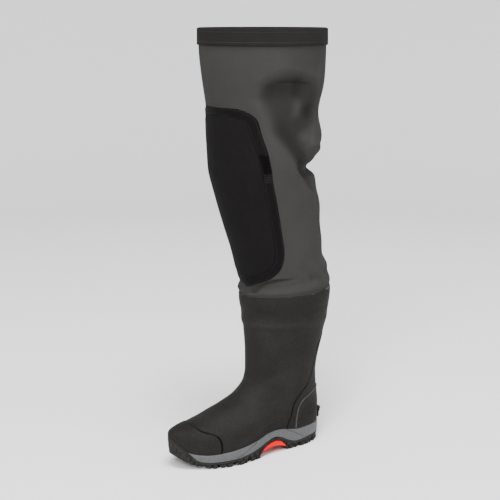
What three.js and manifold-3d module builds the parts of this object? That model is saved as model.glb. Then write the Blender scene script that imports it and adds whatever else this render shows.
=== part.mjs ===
// The left leg of a pair of neoprene waders: a rubber boot on a lugged sole, with the neoprene leg
// bonded inside the boot's collar, a knee pad on the front and a plain hem at the thigh.
// Millimetres, +Z up. The toe points along -X and the outer side of the foot faces -Y.
// The origin is on the floor, in the middle of the heel's tread.
import * as THREE from "three";
import { mergeVertices } from "three/addons/utils/BufferGeometryUtils.js";
import Module from "manifold-3d";

const wasm = await Module();
wasm.setup();

// Sole
const soleLength = 302;
const heelSetback = 42;
const ballWidth = 112;
const toeBend = 8;
const heelStack = 36;
const lugDepth = 5;
const grooveWidth = 4;
const rimThickness = 6;
const sideDraft = 2.5;
const plateRibHeight = 1.2;
const insoleThickness = 4;

// Boot upper
const upperLedge = 3;
const upperWall = 4.5;
const bootHeight = 285;
const ridgeHeight = 1.5;

// Overlays moulded on the boot
const toeCapThickness = 1.6;
const counterThickness = 1.4;
const heelCupThickness = 1.3;
const spurReach = 5;
const spurWidth = 34;

// Neoprene leg
const legTop = 730;
const legWall = 4;
const thighDepth = 207;
const thighWidth = 220;
const hemHeight = 26;
const hemThickness = 2.6;

// Knee pad
const padBottom = 297;
const padHeight = 308;
const padThickness = 2.6;
const padTapeWidth = 12;
const padTapeThickness = 1.8;
const closureLength = 34;
const closureThickness = 1.4;

// Fit and fineness
const gap = 0.3;
const insoleClearance = 1;
const around = 40;

// A smooth curve through the rows' values of one column, at one place along the rows' key column.
function alongRows(rows, key, column, place) {
  const last = rows.length - 1;
  const spot = Math.min(Math.max(place, rows[0][key]), rows[last][key]);
  let i = 0;
  while (i < last - 1 && rows[i + 1][key] < spot) i++;
  const slope = (n) => {
    const before = rows[Math.max(n - 1, 0)];
    const after = rows[Math.min(n + 1, last)];
    return (after[column] - before[column]) / (after[key] - before[key]);
  };
  const span = rows[i + 1][key] - rows[i][key];
  const t = (spot - rows[i][key]) / span;
  const start = rows[i][column];
  const end = rows[i + 1][column];
  const blend = t * t * (3 - 2 * t);
  const startPull = t * (1 - t) * (1 - t) * span * slope(i);
  const endPull = t * t * (1 - t) * span * slope(i + 1);
  return start + (end - start) * blend + startPull - endPull;
}

const mix = (a, b, t) => a + (b - a) * t;
const clamp01 = (t) => Math.min(Math.max(t, 0), 1);
const ease = (t) => clamp01(t) ** 2 * (3 - 2 * clamp01(t));
const turns = Array.from({ length: around }, (_, i) => i / around);
const levels = (count, low, high) =>
  Array.from({ length: count + 1 }, (_, i) => mix(low, high, i / count));

// Joining and cutting of closed solids
function solidFrom(geometry) {
  geometry.deleteAttribute("normal");
  geometry.deleteAttribute("uv");
  const merged = mergeVertices(geometry);
  const vertProperties = new Float32Array(merged.attributes.position.array);
  const triVerts = new Uint32Array(merged.index.array);
  return new wasm.Manifold(new wasm.Mesh({ numProp: 3, vertProperties, triVerts }));
}

function geometryFrom(positions, triangles) {
  const made = new THREE.BufferGeometry();
  made.setAttribute("position", new THREE.Float32BufferAttribute(positions, 3));
  made.setIndex(triangles);
  made.computeVertexNormals();
  return made;
}

function geometryOf(solid) {
  const mesh = solid.getMesh();
  return geometryFrom(Array.from(mesh.vertProperties), Array.from(mesh.triVerts));
}

const flat = (rings) => rings.flat().flatMap((p) => [p.x, p.y, p.z]);

function wallTriangles(first, second, triangles) {
  for (let i = 0; i < around; i++) {
    const j = (i + 1) % around;
    triangles.push(first + i, second + j, first + j, first + i, second + i, second + j);
  }
}

// A hollow skin: rings up the outside, then down the inside, closed on itself.
function tubeGeometry(rings) {
  const triangles = [];
  rings.forEach((ring, i) => {
    wallTriangles(i * around, ((i + 1) % rings.length) * around, triangles);
  });
  return geometryFrom(flat(rings), triangles);
}

// A filled form: rings from low to high, closed by strips that run across the lowest and highest ring.
function filledGeometry(rings) {
  const triangles = [];
  for (let i = 0; i < rings.length - 1; i++) wallTriangles(i * around, (i + 1) * around, triangles);
  const top = (rings.length - 1) * around;
  for (let i = 0; i < around / 2; i++) {
    const left = i;
    const nextLeft = i + 1;
    const right = (around - i) % around;
    const nextRight = around - i - 1;
    if (i > 0) {
      triangles.push(left, nextLeft, right);
      triangles.push(top + left, top + right, top + nextLeft);
    }
    if (nextLeft !== nextRight) {
      triangles.push(right, nextLeft, nextRight);
      triangles.push(top + right, top + nextRight, top + nextLeft);
    }
  }
  return geometryFrom(flat(rings), triangles);
}

const filled = (rings) => solidFrom(filledGeometry(rings));

// A prism through a plan view outline of x and y, or across the boot through a side view outline of x and z.
function planPrism(outline, low, high) {
  const shape = new THREE.Shape(outline.map(([x, y]) => new THREE.Vector2(x, y)));
  const geometry = new THREE.ExtrudeGeometry(shape, { depth: high - low, bevelEnabled: false });
  return solidFrom(geometry.translate(0, 0, low));
}

function sidePrism(outline, outer, inner) {
  const shape = new THREE.Shape(outline.map(([x, z]) => new THREE.Vector2(x, z)));
  const geometry = new THREE.ExtrudeGeometry(shape, { depth: inner - outer, bevelEnabled: false });
  return solidFrom(geometry.rotateX(Math.PI / 2).translate(0, inner, 0));
}

// How full the sole's outline is on each side, as a share of half the ball width, from heel to toe.
const outlineRows = [
  { along: 0.0, outer: 1.14, inner: 1.14 },
  { along: 0.08, outer: 1.02, inner: 1.02 },
  { along: 0.18, outer: 0.87, inner: 0.86 },
  { along: 0.32, outer: 0.74, inner: 0.68 },
  { along: 0.44, outer: 0.76, inner: 0.63 },
  { along: 0.56, outer: 0.9, inner: 0.76 },
  { along: 0.68, outer: 1.04, inner: 0.99 },
  { along: 0.8, outer: 1.05, inner: 1.09 },
  { along: 0.92, outer: 1.0, inner: 1.1 },
  { along: 1.0, outer: 0.96, inner: 1.06 },
];

// Heights along the sole, as shares of the heel stack: the tread, the tray's floor inside the outsole,
// the top of the outsole's black side, and the feather line where the upper meets the midsole.
const sideRows = [
  { along: 0.0, tread: 0.1, floor: 0.27, band: 0.5, feather: 1.04 },
  { along: 0.04, tread: 0.0, floor: 0.25, band: 0.49, feather: 1.02 },
  { along: 0.14, tread: 0.0, floor: 0.25, band: 0.44, feather: 1.0 },
  { along: 0.19, tread: 0.0, floor: 0.25, band: 0.39, feather: 0.99 },
  { along: 0.235, tread: 0.0, floor: 0.26, band: 0.39, feather: 1.0 },
  { along: 0.285, tread: 0.0, floor: 0.4, band: 0.53, feather: 1.07 },
  { along: 0.34, tread: 0.0, floor: 0.64, band: 0.76, feather: 1.15 },
  { along: 0.385, tread: 0.0, floor: 0.74, band: 0.85, feather: 1.16 },
  { along: 0.44, tread: 0.0, floor: 0.66, band: 0.77, feather: 1.11 },
  { along: 0.5, tread: 0.0, floor: 0.47, band: 0.61, feather: 0.98 },
  { along: 0.57, tread: 0.0, floor: 0.3, band: 0.48, feather: 0.88 },
  { along: 0.65, tread: 0.0, floor: 0.25, band: 0.4, feather: 0.81 },
  { along: 0.72, tread: 0.0, floor: 0.24, band: 0.36, feather: 0.75 },
  { along: 0.79, tread: 0.0, floor: 0.24, band: 0.34, feather: 0.71 },
  { along: 0.84, tread: 0.08, floor: 0.28, band: 0.36, feather: 0.71 },
  { along: 0.89, tread: 0.2, floor: 0.4, band: 0.48, feather: 0.77 },
  { along: 0.93, tread: 0.35, floor: 0.55, band: 0.84, feather: 0.88 },
  { along: 0.965, tread: 0.53, floor: 0.73, band: 1.2, feather: 1.14 },
  { along: 1.0, tread: 0.82, floor: 1.05, band: 1.6, feather: 1.44 },
];

const soleShare = (x) => (heelSetback - x) / soleLength;
const soleX = (share) => heelSetback - share * soleLength;
const shareAt = (turn) => (1 - Math.cos(turn * 2 * Math.PI)) / 2;

// A height of the sole, never below the floor. It runs straight between the outline's own points, so that
// stacked pieces agree.
function soleHeight(column, x) {
  const share = clamp01(soleShare(x));
  const turn = Math.acos(1 - 2 * share) / (2 * Math.PI);
  const i = Math.min(Math.floor(turn * around), around / 2 - 1);
  const before = shareAt(i / around);
  const after = shareAt((i + 1) / around);
  const low = Math.max(alongRows(sideRows, "along", column, before), 0);
  const high = Math.max(alongRows(sideRows, "along", column, after), 0);
  return heelStack * mix(low, high, (share - before) / (after - before));
}
const sideTop = (x) => Math.min(soleHeight("band", x), soleHeight("feather", x));
const bendAt = (x) => toeBend * ease((soleShare(x) - 0.45) / 0.55);

// A point of the sole's outline. The turn runs from the heel's back by the outer side to the toe and home.
function outlineEdge(turn) {
  const angle = turn * 2 * Math.PI;
  const share = (1 - Math.cos(angle)) / 2;
  const side = Math.sin(angle) >= 0 ? "outer" : "inner";
  const fullness = (alongRows(outlineRows, "along", side, share) * ballWidth) / 2;
  const x = soleX(share);
  return new THREE.Vector3(x, bendAt(x) - Math.sin(angle) * fullness, 0);
}

// The outline moved inwards, square to itself.
function outlinePoint(turn, inset) {
  const step = 1e-3;
  const along = outlineEdge(turn + step).sub(outlineEdge(turn - step)).normalize();
  const edge = outlineEdge(turn);
  return new THREE.Vector3(edge.x + along.y * inset, edge.y - along.x * inset, 0);
}

function soleRing(inset, heightAt) {
  return turns.map((turn) => {
    const point = outlinePoint(turn, inset);
    return point.setZ(heightAt(point.x));
  });
}

// Rings of the boot's upper from the feather line to the collar. Front and back are shares of the upper's
// length from the heel, heights are shares of the boot's height, width is a share of the ball width,
// heel is the heel's width against the front's, and last is how much of the sole's outline is kept.
const upperRows = [
  { rise: 0, front: 1.0, frontUp: 0.183, back: 0.0, backUp: 0.133, width: 1.0, heel: 1.0, last: 1 },
  { rise: 1, front: 1.004, frontUp: 0.208, back: -0.004, backUp: 0.19, width: 0.985, heel: 0.8, last: 0.85 },
  { rise: 2, front: 0.996, frontUp: 0.226, back: -0.009, backUp: 0.2175, width: 0.97, heel: 0.77, last: 0.55 },
  { rise: 3, front: 0.962, frontUp: 0.24, back: -0.012, backUp: 0.239, width: 0.94, heel: 0.76, last: 0.35 },
  { rise: 4, front: 0.91, frontUp: 0.251, back: -0.012, backUp: 0.26, width: 0.92, heel: 0.76, last: 0.2 },
  { rise: 5, front: 0.84, frontUp: 0.266, back: -0.011, backUp: 0.277, width: 0.9, heel: 0.77, last: 0.1 },
  { rise: 6, front: 0.76, frontUp: 0.29, back: -0.008, backUp: 0.298, width: 0.88, heel: 0.79, last: 0 },
  { rise: 7, front: 0.68, frontUp: 0.322, back: -0.004, backUp: 0.319, width: 0.86, heel: 0.82, last: 0 },
  { rise: 8, front: 0.58, frontUp: 0.368, back: 0.002, backUp: 0.347, width: 0.85, heel: 0.86, last: 0 },
  { rise: 9, front: 0.511, frontUp: 0.428, back: 0.009, backUp: 0.382, width: 0.85, heel: 0.9, last: 0 },
  { rise: 10, front: 0.485, frontUp: 0.495, back: 0.016, backUp: 0.425, width: 0.86, heel: 0.94, last: 0 },
  { rise: 11, front: 0.481, frontUp: 0.56, back: 0.018, backUp: 0.481, width: 0.88, heel: 0.97, last: 0 },
  { rise: 12, front: 0.478, frontUp: 0.639, back: 0.008, backUp: 0.575, width: 0.95, heel: 1, last: 0 },
  { rise: 13, front: 0.48, frontUp: 0.737, back: -0.02, backUp: 0.7, width: 1.07, heel: 1, last: 0 },
  { rise: 14, front: 0.49, frontUp: 0.842, back: -0.048, backUp: 0.842, width: 1.2, heel: 1, last: 0 },
  { rise: 15, front: 0.503, frontUp: 0.933, back: -0.064, backUp: 0.954, width: 1.28, heel: 1, last: 0 },
  { rise: 16, front: 0.505, frontUp: 0.986, back: -0.066, backUp: 1.018, width: 1.29, heel: 1, last: 0 },
];
const collarRise = upperRows.length - 1;
const ridgeRise = 13.75;
const ridgeSpan = 0.25;
const upperX = (share) => soleX(share) + upperLedge * (2 * share - 1) ** 3;

// A point of the upper's outer face. The turn is the outline's own, and the rise counts the rings.
function upperFace(turn, rise) {
  const at = (column) => alongRows(upperRows, "rise", column, rise);
  const angle = turn * 2 * Math.PI;
  const share = (1 - Math.cos(angle)) / 2;
  const side = Math.sin(angle) >= 0 ? "outer" : "inner";
  const outline = alongRows(outlineRows, "along", side, share) * ballWidth - 2 * upperLedge;
  const plain = ballWidth * at("width") * mix(at("heel"), 1, ease(share / 0.6));
  const ridge = ridgeHeight * clamp01(1 - Math.abs(rise - ridgeRise) / ridgeSpan);
  const halfWidth = mix(plain, outline, at("last")) / 2 + ridge;
  const x = upperX(mix(at("back"), at("front"), share));
  const y = bendAt(x) - Math.sin(angle) * halfWidth;
  const feather = (s) => soleHeight("feather", upperX(s)) + gap;
  const sag = feather(share) - mix(feather(0), feather(1), share);
  const lift = clamp01(rise);
  const backZ = mix(feather(0), bootHeight * at("backUp"), lift);
  const frontZ = mix(feather(1), bootHeight * at("frontUp"), lift);
  const z = mix(backZ, frontZ, share) + sag * at("last");
  return new THREE.Vector3(x + ridge * Math.cos(angle), y, z);
}

// A face moved outwards along its own normal. The upper's lowest ring moves level, then drops to the
// feather line at its new place.
function offsetFace(face, distance) {
  const step = 1e-3;
  return (turn, rise) => {
    const alongTurn = face(turn + step, rise).sub(face(turn - step, rise));
    const alongRise = face(turn, rise + step).sub(face(turn, rise - step));
    const normal = alongRise.cross(alongTurn);
    const onFeather = rise === 0 && face === upperFace;
    if (onFeather) normal.z = 0;
    const point = face(turn, rise).addScaledVector(normal.normalize(), distance);
    return onFeather ? point.setZ(soleHeight("feather", point.x) + gap) : point;
  };
}

const ringsOf = (face, rises) => rises.map((rise) => turns.map((turn) => face(turn, rise)));

// Rings of the leg from the boot's collar to the thigh. Front and back are shares of the thigh's depth
// ahead of the origin, heights are shares of the leg's top, and width is a share of the thigh's width.
const legRows = [
  { rise: 0, front: 0.512, frontUp: 0.388, back: -0.256, backUp: 0.400, width: 0.618 },
  { rise: 1, front: 0.541, frontUp: 0.395, back: -0.275, backUp: 0.412, width: 0.668 },
  { rise: 2, front: 0.522, frontUp: 0.407, back: -0.245, backUp: 0.436, width: 0.650 },
  { rise: 3, front: 0.527, frontUp: 0.422, back: -0.236, backUp: 0.452, width: 0.664 },
  { rise: 4, front: 0.552, frontUp: 0.452, back: -0.180, backUp: 0.479, width: 0.673 },
  { rise: 5, front: 0.592, frontUp: 0.493, back: -0.169, backUp: 0.515, width: 0.691 },
  { rise: 6, front: 0.650, frontUp: 0.541, back: -0.146, backUp: 0.555, width: 0.714 },
  { rise: 7, front: 0.706, frontUp: 0.589, back: -0.139, backUp: 0.599, width: 0.745 },
  { rise: 8, front: 0.749, frontUp: 0.633, back: -0.093, backUp: 0.637, width: 0.782 },
  { rise: 9, front: 0.785, frontUp: 0.671, back: -0.062, backUp: 0.668, width: 0.809 },
  { rise: 10, front: 0.787, frontUp: 0.696, back: 0.029, backUp: 0.689, width: 0.823 },
  { rise: 11, front: 0.797, frontUp: 0.722, back: -0.061, backUp: 0.712, width: 0.845 },
  { rise: 12, front: 0.804, frontUp: 0.767, back: -0.123, backUp: 0.756, width: 0.891 },
  { rise: 13, front: 0.799, frontUp: 0.822, back: -0.066, backUp: 0.816, width: 0.936 },
  { rise: 14, front: 0.836, frontUp: 0.884, back: -0.123, backUp: 0.881, width: 0.973 },
  { rise: 15, front: 0.864, frontUp: 0.945, back: -0.138, backUp: 0.945, width: 0.995 },
  { rise: 16, front: 0.865, frontUp: 1.000, back: -0.136, backUp: 1.000, width: 1.000 },
];
const legRise = legRows.length - 1;
const lapRings = 2;
const lapShare = 1.2;
const collarLining = offsetFace(upperFace, -(upperWall + gap));

// The leg's outer face where it is tucked inside the collar, just clear of the boot's wall.
function insideCollar(turn, rise) {
  const below = (Math.min(rise, 0) / lapRings) * lapShare;
  const point = collarLining(turn, collarRise + below);
  point.z += gap * (2 + Math.max(rise, 0));
  return point;
}

// A point of the leg's outer face. Below ring 0 the leg laps down inside the boot's collar.
function legFace(turn, rise) {
  const at = (column) => alongRows(legRows, "rise", column, rise);
  const angle = turn * 2 * Math.PI;
  const share = (1 - Math.cos(angle)) / 2;
  const x = -thighDepth * mix(at("back"), at("front"), share);
  const y = (-Math.sin(angle) * thighWidth * at("width")) / 2;
  const z = legTop * mix(at("backUp"), at("frontUp"), share);
  return insideCollar(turn, rise).lerp(new THREE.Vector3(x, y, z), ease(rise));
}

const group = new THREE.Group();
function addMesh(name, geometry, colour, roughness) {
  const material = new THREE.MeshStandardMaterial({ color: colour, roughness, metalness: 0 });
  const mesh = new THREE.Mesh(geometry, material);
  mesh.name = name;
  group.add(mesh);
}

// Outsole: a tray of black rubber with an arch cut through below and grooves across the tread.
const archRows = [
  { along: 0.2765, top: -0.1 },
  { along: 0.2964, top: 0.18 },
  { along: 0.3046, top: 0.31 },
  { along: 0.3212, top: 0.46 },
  { along: 0.3444, top: 0.6 },
  { along: 0.3775, top: 0.66 },
  { along: 0.4205, top: 0.61 },
  { along: 0.4503, top: 0.53 },
  { along: 0.4735, top: 0.43 },
  { along: 0.485, top: 0.33 },
  { along: 0.4934, top: -0.1 },
];
const grooveShares = [0.09, 0.205, 0.585, 0.68, 0.776, 0.868];
const reach = ballWidth;

function outsoleSolid() {
  const body = filled([
    soleRing(sideDraft, (x) => soleHeight("tread", x)),
    soleRing(0, sideTop),
  ]);
  const tray = filled([
    soleRing(rimThickness, (x) => soleHeight("floor", x)),
    soleRing(rimThickness, (x) => soleHeight("feather", x) + heelStack),
  ]);
  const archOutline = archRows.map((row) => [soleX(row.along), heelStack * row.top]);
  const arch = sidePrism(archOutline, -reach, reach);
  const grooves = grooveShares.map((share) => {
    const x = soleX(share);
    const top = soleHeight("tread", x) + lugDepth;
    const groove = new THREE.BoxGeometry(grooveWidth, 2 * reach, heelStack);
    return solidFrom(groove.translate(x, 0, top - heelStack / 2));
  });
  return [tray, arch, ...grooves].reduce((left, cut) => left.subtract(cut), body);
}

// Midsole: a grey wedge that fills the outsole's tray and shows as a band below the upper.
const coreDrop = 0.6;

function midsoleSolid() {
  const slab = filled([
    soleRing(0, (x) => soleHeight("tread", x)),
    soleRing(0, (x) => soleHeight("feather", x)),
  ]);
  const bandTop = (x) => soleHeight("band", x) + gap;
  const below = filled([
    soleRing(-rimThickness, (x) => soleHeight("tread", x) - heelStack),
    soleRing(-rimThickness, bandTop),
    soleRing(0, bandTop),
  ]);
  const core = filled([
    soleRing(rimThickness + gap, (x) => soleHeight("floor", x) + gap),
    soleRing(rimThickness + gap, (x) => soleHeight("feather", x) - coreDrop),
  ]);
  return slab.subtract(below).add(core);
}

// Arch plate: a red crescent below the arch, ribbed along its lower edge.
const plateRows = [
  { along: 0.303, bottom: 0.25 },
  { along: 0.345, bottom: 0.36 },
  { along: 0.39, bottom: 0.42 },
  { along: 0.435, bottom: 0.4 },
  { along: 0.476, bottom: 0.36 },
];
const plateRibs = 10;

function archPlateSolid() {
  const heel = plateRows[0].along;
  const fore = plateRows[plateRows.length - 1].along;
  const top = archRows.filter((row) => row.along > heel && row.along < fore);
  const topEdge = top.map((row) => [soleX(row.along), heelStack * row.top - 2 * gap]);
  const bottomEdge = levels(2 * plateRibs, fore, heel).map((share, i) => {
    const rib = (i % 2) * plateRibHeight;
    return [soleX(share), heelStack * alongRows(plateRows, "along", "bottom", share) - rib];
  });
  const outline = soleRing(2 * gap, () => 0).map((point) => [point.x, point.y]);
  const footprint = planPrism(outline, -heelStack, 2 * heelStack);
  return sidePrism([...topEdge, ...bottomEdge], -reach, reach).intersect(footprint);
}

function insoleSolid() {
  const inset = upperLedge + upperWall + insoleClearance;
  return filled([
    soleRing(inset, (x) => soleHeight("feather", x) + gap),
    soleRing(inset, (x) => soleHeight("feather", x) + gap + insoleThickness),
  ]);
}

// Upper: a hollow boot, open at the collar and underneath.
const upperOuterRises = [0, 0.5, 1, 1.5, ...levels(11, 2, 13), 13.5, 13.75, 14, 15, 16];
const upperInnerRises = [16, 15.4, 14.8, ...levels(5, 14, 9), 7, 5, 4, 3, 2, 1, 0];

function upperGeometry() {
  const inside = offsetFace(upperFace, -upperWall);
  return tubeGeometry([...ringsOf(upperFace, upperOuterRises), ...ringsOf(inside, upperInnerRises)]);
}

// Overlays are cut between two forms that lie outside the face they sit on.
function overlayForm(face, rises, distance, drop) {
  const rings = ringsOf(offsetFace(face, distance), rises);
  rings[0].forEach((point) => (point.z -= drop));
  return filled(rings);
}

const bootForm = (distance, drop) => overlayForm(upperFace, upperOuterRises, distance, drop);

// The toe cap's back edge in plan: its place along the sole at each share of half the ball width.
const toeCapRows = [
  { side: 0.0, along: 0.876 },
  { side: 0.3, along: 0.869 },
  { side: 0.5, along: 0.852 },
  { side: 0.75, along: 0.79 },
  { side: 0.91, along: 0.74 },
  { side: 1.0, along: 0.7 },
  { side: 1.3, along: 0.67 },
];

function toeCapSolid() {
  const edgePoint = (row, sign) => {
    const x = soleX(row.along);
    return [x, bendAt(x) + (sign * row.side * ballWidth) / 2];
  };
  const outerEdge = [...toeCapRows].reverse().map((row) => edgePoint(row, -1));
  const innerEdge = toeCapRows.slice(1).map((row) => edgePoint(row, 1));
  const front = soleX(1.2);
  const outline = [...outerEdge, ...innerEdge, [front, reach], [front, -reach]];
  const cutter = planPrism(outline, 0, bootHeight);
  return bootForm(gap + toeCapThickness, 0).intersect(cutter).subtract(bootForm(gap, lugDepth));
}

// Side views of the heel counter and of the raised cup at its foot: shares of sole length and boot height.
const counterRows = [
  { along: 0.302, up: 0.08 },
  { along: 0.295, up: 0.16 },
  { along: 0.264, up: 0.2 },
  { along: 0.266, up: 0.3 },
  { along: 0.223, up: 0.348 },
  { along: 0.154, up: 0.41 },
  { along: 0.123, up: 0.469 },
  { along: 0.106, up: 0.548 },
  { along: 0.09, up: 0.64 },
  { along: 0.04, up: 0.71 },
  { along: -0.2, up: 0.77 },
  { along: -0.2, up: 0.08 },
];
const heelCupRows = [
  { along: 0.235, up: 0.08 },
  { along: 0.231, up: 0.171 },
  { along: 0.223, up: 0.238 },
  { along: 0.2, up: 0.298 },
  { along: 0.135, up: 0.327 },
  { along: 0.075, up: 0.349 },
  { along: -0.2, up: 0.37 },
  { along: -0.2, up: 0.08 },
];
const spurRows = [
  { along: 0.12, up: 0.138 },
  { along: -0.008, up: 0.138 },
  { along: -0.018, up: 0.18 },
  { along: -0.019, up: 0.194 },
  { along: -0.01, up: 0.204 },
  { along: 0.12, up: 0.206 },
];
const sideOutline = (rows) => rows.map((row) => [soleX(row.along), bootHeight * row.up]);

function heelCounterSolid() {
  const low = bootForm(gap + counterThickness, 0);
  const high = bootForm(gap + counterThickness + heelCupThickness, 0);
  const counter = low.intersect(sidePrism(sideOutline(counterRows), -reach, reach));
  const cup = high.intersect(sidePrism(sideOutline(heelCupRows), -reach, reach));
  return counter.add(cup).subtract(bootForm(gap, lugDepth));
}

function kickSpurSolid() {
  const near = 2 * gap + counterThickness + heelCupThickness;
  const wedge = sidePrism(sideOutline(spurRows), -spurWidth / 2, spurWidth / 2);
  return bootForm(near + spurReach, 0).intersect(wedge).subtract(bootForm(near, lugDepth));
}

// Leg: a hollow sleeve of neoprene, its lower end inside the boot's collar.
const hemLow = legRise - hemHeight / (legTop * (1 - legRows[legRise - 1].backUp));
const legOuterRises = [-2, -1, 0, 0.35, 0.7, ...levels(legRise - 1, 1, legRise), hemLow];
const legInnerRises = [-2, 0, 1, 3, 5, 7, 9, 10, 11, 13, 15, hemLow, 16];

function legGeometry() {
  const inside = offsetFace(legFace, -legWall);
  const outer = ringsOf(legFace, legOuterRises.sort((a, b) => a - b));
  const inner = ringsOf(inside, legInnerRises.sort((a, b) => b - a));
  return tubeGeometry([...outer, ...inner]);
}

// Thigh hem: a binding folded over the leg's top edge.

function hemGeometry() {
  const ringAt = (distance, rise, lift) => {
    const face = offsetFace(legFace, distance);
    return turns.map((turn) => face(turn, rise).setZ(face(turn, rise).z + lift));
  };
  const outside = gap + hemThickness;
  const inside = -(legWall + gap + hemThickness);
  return tubeGeometry([
    ringAt(outside, hemLow, 0),
    ringAt(outside, legRise, gap + hemThickness / 2),
    ringAt(outside - hemThickness / 2, legRise, gap + hemThickness),
    ringAt(inside + hemThickness / 2, legRise, gap + hemThickness),
    ringAt(inside, legRise, gap + hemThickness / 2),
    ringAt(inside, hemLow, 0),
    ringAt(-(legWall + gap), hemLow, 0),
    ringAt(-(legWall + gap), legRise, gap),
    ringAt(gap, legRise, gap),
    ringAt(gap, hemLow, 0),
  ]);
}

// The knee pad's back edge in side view: shares of the thigh's depth ahead of the origin and of the pad's
// height above its bottom.
const padRows = [
  { front: 0.604, up: -0.02 },
  { front: 0.535, up: 0.0 },
  { front: 0.508, up: 0.03 },
  { front: 0.446, up: 0.068 },
  { front: 0.391, up: 0.12 },
  { front: 0.375, up: 0.199 },
  { front: 0.393, up: 0.266 },
  { front: 0.457, up: 0.436 },
  { front: 0.540, up: 0.623 },
  { front: 0.594, up: 0.777 },
  { front: 0.637, up: 0.877 },
  { front: 0.664, up: 0.942 },
  { front: 0.710, up: 0.978 },
  { front: 0.779, up: 1.0 },
  { front: 0.887, up: 0.99 },
  { front: 1.069, up: 0.985 },
];
const padRises = levels(13, 1, 14);
const padForm = (distance) => overlayForm(legFace, padRises, distance, 0);

// The pad's side view outline, moved inwards square to its back edge. Its front lies ahead of the leg.
function padOutline(inset) {
  const edge = padRows.map((row) => [-thighDepth * row.front, padBottom + padHeight * row.up]);
  return edge.map(([x, z], i) => {
    const before = edge[Math.max(i - 1, 0)];
    const after = edge[Math.min(i + 1, edge.length - 1)];
    const length = Math.hypot(after[0] - before[0], after[1] - before[1]);
    const alongX = (after[0] - before[0]) / length;
    const alongZ = (after[1] - before[1]) / length;
    return [x - alongZ * inset, z + alongX * inset];
  });
}

const padPrism = (inset, outer, inner) => {
  const edge = padOutline(inset);
  const front = -2 * thighDepth;
  const outline = [...edge, [front, edge[edge.length - 1][1]], [front, edge[0][1]]];
  return sidePrism(outline, outer, inner);
};

function kneePadSolid() {
  const shell = padForm(gap + padThickness).subtract(padForm(gap));
  return shell.intersect(padPrism(padTapeWidth + gap, -thighWidth, thighWidth));
}

function padTapeSolid() {
  const shell = padForm(gap + padTapeThickness).subtract(padForm(gap));
  const whole = shell.intersect(padPrism(0, -thighWidth, thighWidth));
  return whole.subtract(padPrism(padTapeWidth, -thighWidth, thighWidth));
}

// Pocket closure: a short patch on the tape at the outer side of the knee.
const closureUp = 0.72;

function closureSolid() {
  const near = 2 * gap + padTapeThickness;
  const middle = padBottom + padHeight * closureUp;
  const low = middle - closureLength / 2;
  const high = middle + closureLength / 2;
  const block = new THREE.BoxGeometry(2 * thighDepth, thighWidth, high - low);
  const side = solidFrom(block.translate(-thighDepth, -thighWidth / 2, (high + low) / 2));
  const patch = padForm(near + closureThickness).subtract(padForm(near)).intersect(side);
  const strip = padPrism(gap, -thighWidth, 0).subtract(padPrism(padTapeWidth - gap, -thighWidth, 0));
  return patch.intersect(strip);
}

const black = 0x26292c;
const charcoal = 0x33312f;
const darkCloth = 0x222020;
const greyCloth = 0x4b4a48;

addMesh("outsole", geometryOf(outsoleSolid()), black, 0.75);
addMesh("midsole", geometryOf(midsoleSolid()), 0x737476, 0.6);
addMesh("arch_plate", geometryOf(archPlateSolid()), 0xd8322b, 0.45);
addMesh("insole", geometryOf(insoleSolid()), 0x3a3a3c, 0.9);
addMesh("upper", upperGeometry(), charcoal, 0.6);
addMesh("toe_cap", geometryOf(toeCapSolid()), black, 0.6);
addMesh("heel_counter", geometryOf(heelCounterSolid()), charcoal, 0.6);
addMesh("kick_spur", geometryOf(kickSpurSolid()), black, 0.6);
addMesh("leg", legGeometry(), greyCloth, 0.8);
addMesh("thigh_hem", hemGeometry(), darkCloth, 0.9);
addMesh("knee_pad", geometryOf(kneePadSolid()), darkCloth, 0.85);
addMesh("knee_pad_tape", geometryOf(padTapeSolid()), darkCloth, 0.75);
addMesh("pocket_closure", geometryOf(closureSolid()), black, 0.7);

export default group;
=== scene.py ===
import math
import bpy
import numpy as np
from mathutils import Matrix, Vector


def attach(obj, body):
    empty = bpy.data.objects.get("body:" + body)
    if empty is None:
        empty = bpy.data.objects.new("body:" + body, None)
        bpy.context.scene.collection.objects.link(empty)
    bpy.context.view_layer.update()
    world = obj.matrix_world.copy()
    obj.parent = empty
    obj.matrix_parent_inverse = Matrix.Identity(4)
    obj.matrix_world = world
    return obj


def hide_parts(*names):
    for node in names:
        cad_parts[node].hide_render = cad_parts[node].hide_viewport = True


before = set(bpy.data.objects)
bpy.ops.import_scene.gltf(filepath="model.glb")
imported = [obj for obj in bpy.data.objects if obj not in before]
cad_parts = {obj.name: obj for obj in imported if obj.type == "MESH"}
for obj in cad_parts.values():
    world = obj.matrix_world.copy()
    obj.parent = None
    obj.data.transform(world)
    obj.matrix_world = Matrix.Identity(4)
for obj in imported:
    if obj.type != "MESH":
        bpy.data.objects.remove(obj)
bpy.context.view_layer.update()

# Sizes are in millimetres and become metres where a mesh is made.
mm = 0.001
gap = 0.3
smallStep = 1e-3

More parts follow.
